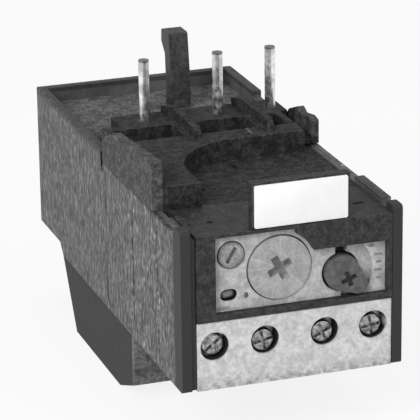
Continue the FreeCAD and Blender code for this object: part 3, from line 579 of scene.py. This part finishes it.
class RELAY_OT_stage(bpy.types.Operator):
    """Camera, floor, world and lamps"""
    bl_idname = "relay.stage"
    bl_label = "Stage"

    def execute(self, context):
        scene = context.scene
        scene.view_settings.view_transform = "Standard"
        self.camera(scene)
        self.floor()
        self.world(scene)
        self.lamp("key", (-0.62, -0.55, 0.62), 0.45, 6.8)
        self.lamp("fill", (0.75, -0.6, 0.45), 0.6, 2.7)
        self.lamp("top", (0.05, 0.2, 0.95), 0.5, 1.8)
        return {"FINISHED"}

    def camera(self, scene):
        azimuth, elevation, roll = -0.32555, 0.34017, -0.01403     # radians
        distance, aim_height = 570.85 * MM, 30.765 * MM
        back = Vector((math.sin(azimuth) * math.cos(elevation),
                       -math.cos(azimuth) * math.cos(elevation), math.sin(elevation)))
        right = Vector((math.cos(azimuth), math.sin(azimuth), 0))
        up = back.cross(right)
        level = Matrix((right, up, back)).transposed()
        data = bpy.data.cameras.new("camera")
        data.lens = 236.19
        data.sensor_width = 36
        data.shift_x = 0.0040
        data.shift_y = 0.0187
        data.clip_start = 0.01
        camera = bpy.data.objects.new("camera", data)
        turned = (level @ Matrix.Rotation(roll, 3, "Z")).to_4x4()
        place = Vector((0, 0, aim_height)) + back * distance
        camera.matrix_world = Matrix.Translation(place) @ turned
        scene.collection.objects.link(camera)
        scene.camera = camera

    def floor(self):
        """Pale paper just under the relay, clear when seen from below."""
        paper, drop = 0.86, 0.05 * MM
        deselect_all()
        bpy.ops.mesh.primitive_plane_add(size=8, location=(0, 0, -drop))
        floor = bpy.context.object
        floor.name = "floor"
        finish = Finish("floor_paper", grey(paper), 0.9, specular=0.1)
        tree = finish.tree
        light = add(tree, "Emission", [("Color", (1, 1, 1, 1)), ("Strength", 1.0)])
        rays = add(tree, "LightPath").outputs
        seen = math_node(tree, "ADD", rays["Is Camera Ray"], rays["Is Glossy Ray"], clamp=True)
        share = math_node(tree, "MULTIPLY", seen, paper)
        mix = add(tree, "MixShader", [(0, share), (1, finish.shader.outputs[0]),
                                      (2, light.outputs[0])])
        clear = add(tree, "BsdfTransparent")
        behind = add(tree, "NewGeometry").outputs["Backfacing"]
        sheet = add(tree, "MixShader", [
            (0, behind), (1, mix.outputs[0]), (2, clear.outputs[0])])
        tree.links.new(sheet.outputs[0], tree.nodes["Material Output"].inputs["Surface"])
        floor.data.materials.append(finish.done())

    def world(self, scene):
        """White where it is seen, dimmer towards the right where metal mirrors it."""
        soft_light, dimmest = 0.29, 0.35
        world = bpy.data.worlds.new("studio")
        world.use_nodes = True
        tree = world.node_tree
        background = tree.nodes["Background"]
        background.inputs["Color"].default_value = (1, 1, 1, 1)
        rays = add(tree, "LightPath").outputs
        seen = math_node(tree, "ADD", rays["Is Camera Ray"], rays["Is Glossy Ray"], clamp=True)
        way = add(tree, "TexCoord").outputs["Generated"]
        side = add(tree, "SeparateXYZ", [(0, way)]).outputs["X"]
        mirrored = remap(tree, side, -0.35, 0.65, 1.0, dimmest)
        mirrored = math_node(tree, "MAXIMUM", mirrored, rays["Is Camera Ray"])
        level = add(tree, "Mix", [("Factor", seen), ("A", soft_light), ("B", mirrored)])
        tree.links.new(level.outputs["Result"], background.inputs["Strength"])
        scene.world = world

    def lamp(self, name, place, size, power):
        """A round lamp of a size in metres and a power in watts, aimed at the relay."""
        data = bpy.data.lights.new(name, "AREA")
        data.shape = "DISK"
        data.size = size
        data.energy = power
        lamp = bpy.data.objects.new(name, data)
        lamp.location = place
        middle_height = 30 * MM
        aim = Vector((0, 0, middle_height)) - Vector(place)
        lamp.rotation_euler = aim.to_track_quat("-Z", "Y").to_euler()
        bpy.context.scene.collection.objects.link(lamp)


# ---------------------------------------------------------------- finishes of the CAD nodes


class RELAY_OT_casing_finish(bpy.types.Operator):
    """Finishes of the housings, covers, panel and terminal block"""
    bl_idname = "relay.casing_finish"
    bl_label = "Casing finishes"

    def execute(self, context):
        colours = context.scene.relay_colours
        rounding = context.scene.relay_sizes.edge_rounding
        give("base_housing", self.wall(tuple(colours.wall), tuple(colours.cover), rounding))
        cover = moulding("cover_moulding", tuple(colours.cover), 0.55,
                         patch=(0.65, 1.5), grain=(0.72, 1.4), scales=(600, 1600),
                         rounding=rounding, specular=0.2, edge_highlight_factor=1.7)
        for node in ("front_cover", "label_carrier"):
            give(node, cover)
        give("top_cover", self.deck(tuple(colours.cover), rounding))
        give("rear_hook", moulding("latch_moulding", tuple(colours.cover), 0.55,
                                   patch=(0.8, 1.9), grain=(0.75, 1.4), scales=(420, 1500),
                                   rounding=rounding, specular=0.3, edge_highlight_factor=1.5))
        give("terminal_housing", self.lower(tuple(colours.terminal_housing), rounding))
        give("dial_panel", self.front_plate(tuple(colours.panel)))
        give("aux_terminal_block", self.terminal_block(tuple(colours.block)))
        return {"FINISHED"}

    def wall(self, colour, dark, rounding):
        """Side walls with upright streaks, darker at the front, the rims and the seam."""
        finish = Finish("wall_moulding", colour, 0.62, specular=0.3)
        streak = finish.grain(1250, 2100, 4.5)
        fine = finish.grain(260, 1300, 1.6)
        darkest = 0.215      # the streaks and the grain only lighten it
        finish.base = (*scaled(colour, darkest), 1.0)
        finish.shade(streak["Patch"], 3.0)
        finish.shade(fine["Grain"], 2.7)
        finish.shade(fine["Patch"], 1.3)
        specks = place_group(finish.tree, "scuff_specks", [
            ("Vector", finish.place), ("Scale", 1150.0), ("Amount", 0.30)])
        near_front = finish.band(1, FRONT + 6 * MM, FRONT + 40 * MM, 8 * MM)
        pale = math_node(finish.tree, "MULTIPLY", specks.outputs["Mask"], near_front)
        finish.shade(pale, 2.6)
        for line in (14, 30, 48):
            start = FRONT + line * MM
            finish.shade(finish.band(1, start, start + 0.7 * MM, 0.1 * MM), 1.7)
        # painted highlight along the walls' edges
        finish.wear(rounding, fine["Patch"], 1.4)
        skin = 0.7 * MM
        inside = finish.box((CORNER_LOW.x + skin, -PAST_END, BASE + skin),
                            (CORNER_HIGH.x - skin, CORNER_HIGH.y - skin, PAST_END))
        finish.paint(inside, scaled(dark, 3.9))
        finish.shade(math_node(finish.tree, "MULTIPLY", inside, fine["Patch"]), 0.62)
        rims = finish.band(2, BASE + 32.0 * MM, PAST_END, 0.25 * MM)
        finish.shade(rims, 0.5)
        seam = finish.box(spot(-23.0, 6.0, 30.8), spot(-21.5, 50.0, 31.6), 0.2 * MM)
        finish.shade(seam, 0.4)
        posts = finish.band(1, -PAST_END, FRONT + 5.4 * MM, 1.4 * MM)
        finish.paint(posts, scaled(dark, 0.95))
        # painted shadow: nearly black in the opening at the rear end of the side ridge
        gap = finish.box(spot(-22.7, 49.8, 29.0), spot(-20.3, 51.5, 33.6), 0.1 * MM)
        finish.paint(gap, grey(0.006))
        height = math_node(finish.tree, "ADD", streak["Height"], fine["Height"])
        finish.relief(height, 0.05 * MM, rounding)
        return finish.done()

    def lower(self, colour, rounding):
        """Lower housing, paler on the faces towards the front."""
        def zones(finish):
            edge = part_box("terminal_housing")[0][1] + 1.2 * MM
            finish.shade(finish.band(1, -PAST_END, edge, 0.2 * MM), 6.5)
        return moulding("terminal_moulding", scaled(colour, 0.34), 0.65,
                        patch=(0.6, 1.8), grain=(0.75, 1.35), scales=(380, 1500),
                        rounding=rounding, specular=0.28, edge_highlight_factor=1.6, extra=zones)

    def front_plate(self, colour):
        """Plate round the dial, with painted shade inside its small window."""
        def zones(finish):
            # painted shade: nearly black on the faces inside the window
            window = finish.box(spot(-14.6, 1.5, 17.0), spot(-10.6, 9.0, 20.1), 0.1 * MM)
            finish.paint(window, grey(0.015))
            corner = finish.box(spot(-15.3, 0.0, 15.5), spot(-12.4, 9.0, 16.5), 0.35 * MM)
            finish.shade(corner, 0.62)
        return moulding("panel_moulding", colour, 0.5, patch=(0.8, 1.15), grain=(0.9, 1.08),
                        scales=(520, 1800), rounding=0.1 * MM, extra=zones)

    def deck(self, colour, rounding):
        """Top cover: painted light makes the open deck and the side ridge paler than round the
        pins.
        """
        def zones(finish):
            # painted light: the side ridge is paler than the shaded middle
            ridge = finish.band(0, -PAST_END, CORNER_LOW.x + 2.3 * MM, 0.4 * MM)
            finish.shade(ridge, 2.45)
            # painted light over the open rear deck
            rear = finish.band(1, FRONT + 68 * MM, PAST_END, 6 * MM)
            finish.shade(rear, 3.2)
            # painted light on the lug's face
            lug = finish.box(spot(20.5, 44.0, 33.0), spot(23.0, 54.5, 45.0))
            finish.shade(lug, 1.8)
            # painted highlights: pale glints on a few rib edges and one paler patch further back
            painted_glints = (((6.9, 42.7, 35.0), (7.6, 47.4, 36.6), 0.2, 3.6),
                      ((-4.5, 46.0, 35.0), (-3.1, 54.0, 36.6), 0.4, 2.0),
                      ((16.7, 73.0, 29.0), (21.5, 81.0, 30.6), 1.0, 1.4))
            for low, high, soft, factor in painted_glints:
                finish.shade(finish.box(spot(*low), spot(*high), soft * MM), factor)
        return moulding("deck_moulding", scaled(colour, 1.05), 0.7,
                        patch=(0.65, 1.5), grain=(0.72, 1.4), scales=(600, 1600),
                        depth=0.03 * MM, rounding=rounding, specular=0.08, edge_highlight_factor=2.2,
                        extra=zones)

    def terminal_block(self, colour):
        """Pale block, with painted shade inside its screw holes and darker blotches along its
        lower edge.
        """
        def zones(finish):
            # darker in blotches towards the lower edge
            lower = finish.band(2, -PAST_END, BASE + 2.2 * MM, 1.6 * MM)
            lower_blotches = finish.grain(900, 2400)["Patch"]
            finish.shade(math_node(finish.tree, "MULTIPLY", lower, lower_blotches), 0.55)
            # painted shade: nearly black on the faces more than 0.75 mm behind the front within
            # the block, inside the screw holes
            depth = finish.band(1, FRONT + 0.75 * MM, FRONT + 12 * MM, 0.25 * MM)
            low, high = corners("aux_terminal_block")
            skin = 0.8 * MM
            across = finish.band(0, low.x + skin, high.x - skin)
            tall = finish.band(2, low.z + skin, high.z - skin)
            inside = math_node(finish.tree, "MULTIPLY", across, tall)
            finish.paint(math_node(finish.tree, "MULTIPLY", depth, inside), grey(0.02))
        return moulding("block_moulding", colour, 0.5, patch=(0.86, 1.12), grain=(0.9, 1.1),
                        scales=(520, 1700), rounding=0.15 * MM, extra=zones)


class RELAY_OT_control_finish(bpy.types.Operator):
    """Finishes of the dial, knob, plunger, button and flag"""
    bl_idname = "relay.control_finish"
    bl_label = "Control finishes"

    def execute(self, context):
        colours = context.scene.relay_colours
        give("setting_dial", self.dial(tuple(colours.dial)))
        give("mode_knob", self.knob(tuple(colours.knob)))
        give("reset_plunger", moulding("plunger_moulding", tuple(colours.knob), 0.45,
                                       scales=(420, 2100), rounding=0.12 * MM))
        give("test_button", self.button(tuple(colours.button)))
        give("trip_flag", moulding("flag_moulding", grey(0.30), 0.4, rounding=0.1 * MM))
        return {"FINISHED"}

    def knob(self, colour):
        """Knob with painted shade in its cross recess."""
        def cross(finish):
            centre = joint_place("mode_turn") + Vector((1.3 * MM, 0, -1.4 * MM))
            # painted shade along both arms of the cross recess
            for turn in (20, 110):
                mask = finish.bar(centre, turn, 1.75 * MM, 0.62 * MM, 0.25 * MM)
                finish.shade(mask, 0.3)
        return moulding("knob_moulding", colour, 0.45, patch=(0.75, 1.3), grain=(0.85, 1.15),
                        scales=(620, 2100), rounding=0.12 * MM, extra=cross)

    def button(self, colour):
        """Button, darker round its edge, with painted shade in its slot."""
        def edge(finish):
            centre = middle("test_button")
            finish.shade(finish.ring(centre, 2.0 * MM, 9 * MM, 0.35 * MM), 0.62)
            # painted shade in the slot
            finish.shade(finish.bar(centre, 60, 1.8 * MM, 0.5 * MM, 0.15 * MM), 0.7)
        return moulding("button_moulding", colour, 0.42, patch=(0.75, 1.25),
                        grain=(0.85, 1.15), scales=(700, 2100), rounding=0.2 * MM, extra=edge)

    def dial(self, colour):
        """Dial with faint pale radial scuff marks and painted shade in its cross."""
        hub = middle("setting_dial")

        def scuffs(finish):
            tree = finish.tree
            x = math_node(tree, "SUBTRACT", finish.axes[0], hub.x)
            z = math_node(tree, "SUBTRACT", finish.axes[2], hub.z)
            turn = math_node(tree, "ARCTAN2", z, x)
            ring = add(tree, "TexNoise", [("W", turn), ("Scale", 5.0), ("Detail", 3.0)],
                       noise_dimensions="1D")
            finish.shade(remap(tree, ring.outputs["Fac"], 0.55, 0.75), 1.22)
            # painted shade along both arms of the cross
            for turn in (28, 118):
                finish.shade(finish.bar(hub, turn, 2.4 * MM, 0.95 * MM, 0.45 * MM), 0.62)
        return moulding("dial_moulding", colour, 0.45, patch=(0.85, 1.12), grain=(0.92, 1.08),
                        scales=(620, 2100), rounding=0.15 * MM, extra=scuffs)


class RELAY_OT_metal_finish(bpy.types.Operator):
    """Finishes of the pins, terminals, heaters, springs and inner parts"""
    bl_idname = "relay.metal_finish"
    bl_label = "Metal and inner finishes"

    def execute(self, context):
        pin = metal("tinned_wire", (0.80, 0.80, 0.79), 0.34, scales=(420, 900), depth=None,
                    stain=1.7, extra=self.sawn_end)
        copper = metal("tinned_copper", (0.74, 0.60, 0.48), 0.35)
        steel = metal("plated_steel", (0.60, 0.60, 0.58), 0.36)
        bimetal = metal("rolled_bimetal", (0.50, 0.48, 0.45), 0.42)
        heater = metal("heater_ribbon", (0.30, 0.27, 0.25), 0.5)
        sleeve = moulding("glass_sleeve", (0.62, 0.60, 0.52), 0.85, scales=(900, 4200),
                          depth=0.06 * MM, rounding=None)
        pale = moulding("pale_inner_moulding", (0.50, 0.48, 0.42), 0.5)
        dark = moulding("dark_inner_moulding", (0.09, 0.09, 0.10), 0.5)
        phases, controls = (1, 2, 3), (1, 2, 3, 4)
        numbered = (
            ("bus_pin_", phases, pin), ("load_terminal_", phases, copper),
            ("bimetal_strip_", phases, bimetal), ("heater_winding_", phases, heater),
            ("insulating_sleeve_", phases, sleeve), ("aux_terminal_", controls, copper))
        for start, numbers, material in numbered:
            for number in numbers:
                give(start + str(number), material)
        single = (
            (copper, ("nc_bridge", "no_bridge")),
            (steel, ("load_clamps", "aux_clamps", "adjuster_pin", "trip_lever_pin",
                     "reset_spring", "test_spring")),
            (bimetal, ("compensating_strip",)),
            (pale, ("setting_cam", "adjusting_lever", "mechanism_plate", "trip_lever",
                    "trip_slider")),
            (dark, ("differential_slider", "differential_lever", "contact_carrier")))
        for material, nodes in single:
            for node in nodes:
                give(node, material)
        return {"FINISHED"}

    def sawn_end(self, finish):
        """Dull end face where the wire was cut."""
        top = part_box("bus_pin_1")[1][2]
        finish.paint(finish.band(2, top - 0.5 * MM, PAST_END, 0.2 * MM), grey(0.22))


# ---------------------------------------------------------------- fine parts


def screw_places(node, count):
    """Middle of each of the separate screws in a CAD node, from left to right."""
    thing = frame["nodes"][node]
    low, high = corners(node)
    groups = []
    for x in sorted({round(v.co.x, 5) for v in thing.data.vertices}):
        if not groups or x - groups[-1][-1] > 2.5 * MM:
            groups.append([])
        groups[-1].append(x)
    if len(groups) != count:
        raise RuntimeError("%s: found %d screws, not %d" % (node, len(groups), count))
    return [Vector(((g[0] + g[-1]) / 2, low.y, (low.z + high.z) / 2)) for g in groups]


OVERLAP = 0.05 * MM      # how far a shank stands into its screw's head


def threaded_shank(start, radius, length, turns=18):
    """A shank whose rings stand for the thread's turns."""
    shank = cylinder(radius, length, start + Vector((0, length / 2, 0)), 32)
    bpy.ops.object.mode_set(mode="EDIT")
    for step in range(1, turns):
        level = start.y + length * step / turns
        bpy.ops.mesh.select_all(action="SELECT")
        bpy.ops.mesh.bisect(plane_co=(0, level, 0), plane_no=(0, 1, 0))
    bpy.ops.object.mode_set(mode="OBJECT")
    for vertex in shank.data.vertices:
        ring = round((vertex.co.z / length + 0.5) * turns)
        if 0 < ring < turns and ring % 2:
            vertex.co.x *= 0.86
            vertex.co.y *= 0.86
    return shank


class RELAY_OT_small_screws(bpy.types.Operator):
    """Four small terminal screws with a cross recess, an edge and a threaded shank"""
    bl_idname = "relay.small_screws"
    bl_label = "Small terminal screws"

    def execute(self, context):
        steel = metal("screw_plating", (0.33, 0.33, 0.325), 0.27, scales=(1100, 3200),
                      depth=0.05 * MM, rounding=0.1 * MM, stain=3.2)
        places = screw_places("aux_screws", 4)
        # each screw's turn in degrees and how far it sits off its hole's middle
        seats = ((38, -0.1, 0.1), (12, -0.14, -0.52), (25, -0.16, -0.54), (8, -0.14, -0.5))
        proud = 0.5
        sizes = context.scene.relay_sizes
        screws = [self.screw(place + Vector((x, -proud, z)) * MM, math.radians(turn), sizes)
                  for place, (turn, x, z) in zip(places, seats)]
        group = finish_piece(join(screws), "small_terminal_screws", steel, "root")
        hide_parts("aux_screws")
        return {"FINISHED"}

    def screw(self, place, turn, sizes):
        radius, deep = 2.3 * MM, 2.0 * MM
        head = cylinder(radius, deep, place + Vector((0, deep / 2, 0)), 56)

        def at_rim(a, b):      # both ends in the cylinder's upper face, which faces front
            return min(a.z, b.z) > deep * 0.49
        bevel_where(head, at_rim, offset=sizes.screw_edge, segments=4, profile=0.6)
        slot = (3.9 * MM, 2 * sizes.screw_recess, 0.62 * MM)
        carve(head, [block(slot, place, (0, -turn - extra, 0)) for extra in (0, math.pi / 2)])
        shank = threaded_shank(place + Vector((0, deep - OVERLAP, 0)), 1.42 * MM, 6.2 * MM)
        return join([head, shank])


class RELAY_OT_main_screws(bpy.types.Operator):
    """Three slotted main terminal screws"""
    bl_idname = "relay.main_screws"
    bl_label = "Main terminal screws"

    def execute(self, context):
        steel = bpy.data.materials["screw_plating"]
        screws = []
        for place in screw_places("load_screws", 3):
            deep = 2.5 * MM
            head = cylinder(2.85 * MM, deep, place + Vector((0, deep / 2, 0)), 56)
            modify(head, "BEVEL", width=0.3 * MM, segments=3, limit_method="ANGLE")
            carve(head, [block((7 * MM, 2.2 * MM, 0.8 * MM), place)])
            shank = threaded_shank(place + Vector((0, deep - OVERLAP, 0)), 1.62 * MM, 13 * MM)
            screws.append(join([head, shank]))
        group = finish_piece(join(screws), "main_terminal_screws", steel, "root")
        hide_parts("load_screws")
        return {"FINISHED"}


class RELAY_OT_springs(bpy.types.Operator):
    """Coil springs round the mode knob's and the test button's axes, in place of the spring
    parts
    """
    bl_idname = "relay.springs"
    bl_label = "Return springs"

    def execute(self, context):
        hubs = (("reset_spring", "reset_push", joint_place("mode_turn")),
                ("test_spring", "test_push", middle("test_button")))
        for node, joint, hub in hubs:
            low, high = corners(node)
            length = high.y - low.y
            reach = min(high.x - hub.x, hub.x - low.x)
            coil = self.coil(Vector((hub.x, low.y, hub.z)), reach, length)
            steel = bpy.data.materials["plated_steel"]
            finish_piece(coil, node + "_coil", steel, "root")
            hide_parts(node)
            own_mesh(coil)
        return {"FINISHED"}

    def coil(self, start, reach, length, wire=0.5 * MM, turns=5):
        """Round wire wound on a helix, its ends closed."""
        deselect_all()
        bpy.ops.mesh.primitive_circle_add(
            vertices=10, radius=wire / 2, location=start + Vector((0, wire / 2, 0)))
        ring = bpy.context.object
        bpy.ops.object.mode_set(mode="EDIT")
        bpy.ops.transform.translate(value=(reach - wire / 2, 0, 0))
        bpy.ops.object.mode_set(mode="OBJECT")
        modify(ring, "SCREW", axis="Y", angle=2 * math.pi, iterations=turns, steps=24,
               render_steps=24, screw_offset=(length - wire) / turns)
        bpy.ops.object.mode_set(mode="EDIT")
        bpy.ops.mesh.select_all(action="SELECT")
        bpy.ops.mesh.fill_holes(sides=0)
        bpy.ops.mesh.select_all(action="SELECT")
        bpy.ops.mesh.normals_make_consistent(inside=False)
        bpy.ops.object.mode_set(mode="OBJECT")
        return ring


class RELAY_OT_flag_face(bpy.types.Operator):
    """Oval head of the trip flag, which slides in the panel's window"""
    bl_idname = "relay.flag_face"
    bl_label = "Flag face"

    def execute(self, context):
        low, high = spot(-14.05, 2.0, 17.6), spot(-11.15, 6.1, 19.5)
        head = block_between(low, high)
        round_edges(head, 1, 0.93 * MM, 8)
        modify(head, "BEVEL", width=0.15 * MM, segments=2, limit_method="ANGLE")

        def pale_middle(finish):
            bar = finish.bar((low + high) / 2, 12, 1.15 * MM, 0.72 * MM, 0.4 * MM)
            finish.paint(bar, grey(0.22))
        # painted shade: the head is nearly black round its edge, as under the window's walls,
        # with its paler middle painted over it
        paint = moulding("flag_face", grey(0.035), 0.45, patch=(0.8, 1.2),
                         scales=(900, 2600), rounding=None, extra=pale_middle)
        finish_piece(head, "trip_flag_face", paint, "carrier")
        return {"FINISHED"}


class RELAY_OT_panel_marks(bpy.types.Operator):
    """Printed dot and setting strokes beside the controls"""
    bl_idname = "relay.panel_marks"
    bl_label = "Panel marks"

    def execute(self, context):
        height = context.scene.relay_sizes.print_height
        panel_face = 1.2
        outwards = Vector((0, height / 2, 0))
        dot = cylinder(0.5 * MM, height, spot(-9.1, panel_face, 18.1) - outwards, 32)
        dot.scale = (0.9, 1.2, 1.0)
        marks = [dot]
        # place across and up, length and height of each stroke in millimetres
        strokes = ((16.5, 24.8, 1.1, 0.7), (17.9, 22.9, 1.6, 0.5), (18.1, 21.3, 1.2, 0.5),
                   (17.9, 19.7, 1.6, 0.5), (18.1, 18.1, 1.2, 0.5))
        for x, z, long, tall in strokes:
            place = spot(x, panel_face, z) - outwards
            stroke = block((long * MM, height, tall * MM), place)
            bpy.ops.object.transform_apply(location=False, rotation=False, scale=True)
            round_edges(stroke, 1, tall * 0.3 * MM, 3)
            marks.append(stroke)

        def faded(finish):
            finish.shade(finish.band(0, 0.0, PAST_END), 2.4)
        ink = moulding("printed_ink", grey(0.09), 0.6, patch=(0.8, 1.25),
                       scales=(1500, 3600), depth=0.004 * MM, rounding=None, extra=faded)
        finish_piece(join(marks), "panel_marks", ink, "root")
        return {"FINISHED"}


class RELAY_OT_label(bpy.types.Operator):
    """Bare white label card with rounded corners"""
    bl_idname = "relay.label"
    bl_label = "Label card"

    def execute(self, context):
        low, high = corners("label_plate")
        card = block_between(low, high)
        round_edges(card, 1, context.scene.relay_sizes.label_corner, 5)
        modify(card, "BEVEL", width=0.06 * MM, segments=2, limit_method="ANGLE")
        paper = moulding("label_card", tuple(context.scene.relay_colours.label), 0.6,
                         patch=(0.98, 1.01), grain=(0.99, 1.01), scales=(200, 2600),
                         depth=0.004 * MM, rounding=None)
        finish_piece(card, "label_card", paper, "root")
        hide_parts("label_plate")
        return {"FINISHED"}


# ---------------------------------------------------------------- panel in the sidebar


STEPS = (
    RELAY_OT_stage,
    RELAY_OT_casing_finish,
    RELAY_OT_control_finish,
    RELAY_OT_metal_finish,
    RELAY_OT_small_screws,
    RELAY_OT_main_screws,
    RELAY_OT_springs,
    RELAY_OT_flag_face,
    RELAY_OT_panel_marks,
    RELAY_OT_label,
)


class RELAY_PT_panel(bpy.types.Panel):
    """Lists the steps that dress the relay"""
    bl_idname = "RELAY_PT_panel"
    bl_label = "Overload relay"
    bl_space_type = "VIEW_3D"
    bl_region_type = "UI"
    bl_category = "Relay"

    def draw(self, context):
        for group in (context.scene.relay_sizes, context.scene.relay_colours):
            for name in group.bl_rna.properties.keys():
                if name not in ("rna_type", "name"):
                    self.layout.prop(group, name)
        for step in STEPS:
            self.layout.operator(step.bl_idname)


CLASSES = (RelaySizes, RelayColours, *STEPS, RELAY_PT_panel)


def register():
    for item in CLASSES:
        bpy.utils.register_class(item)
    bpy.types.Scene.relay_sizes = bpy.props.PointerProperty(type=RelaySizes)
    bpy.types.Scene.relay_colours = bpy.props.PointerProperty(type=RelayColours)
    GROUPS["moulding_grain"] = grain_group()
    GROUPS["scuff_specks"] = speckle_group()
    GROUPS["soft_band"] = band_group()
    GROUPS["turned_bar"] = bar_group()
    GROUPS["round_zone"] = ring_group()
    GROUPS["edge_wear"] = wear_group()


def unregister():
    GROUPS.clear()
    del bpy.types.Scene.relay_colours
    del bpy.types.Scene.relay_sizes
    for item in reversed(CLASSES):
        bpy.utils.unregister_class(item)


def main():
    register()
    for step in STEPS:
        family, name = step.bl_idname.split(".")
        getattr(getattr(bpy.ops, family), name)()


if __name__ == "__main__":
    main()
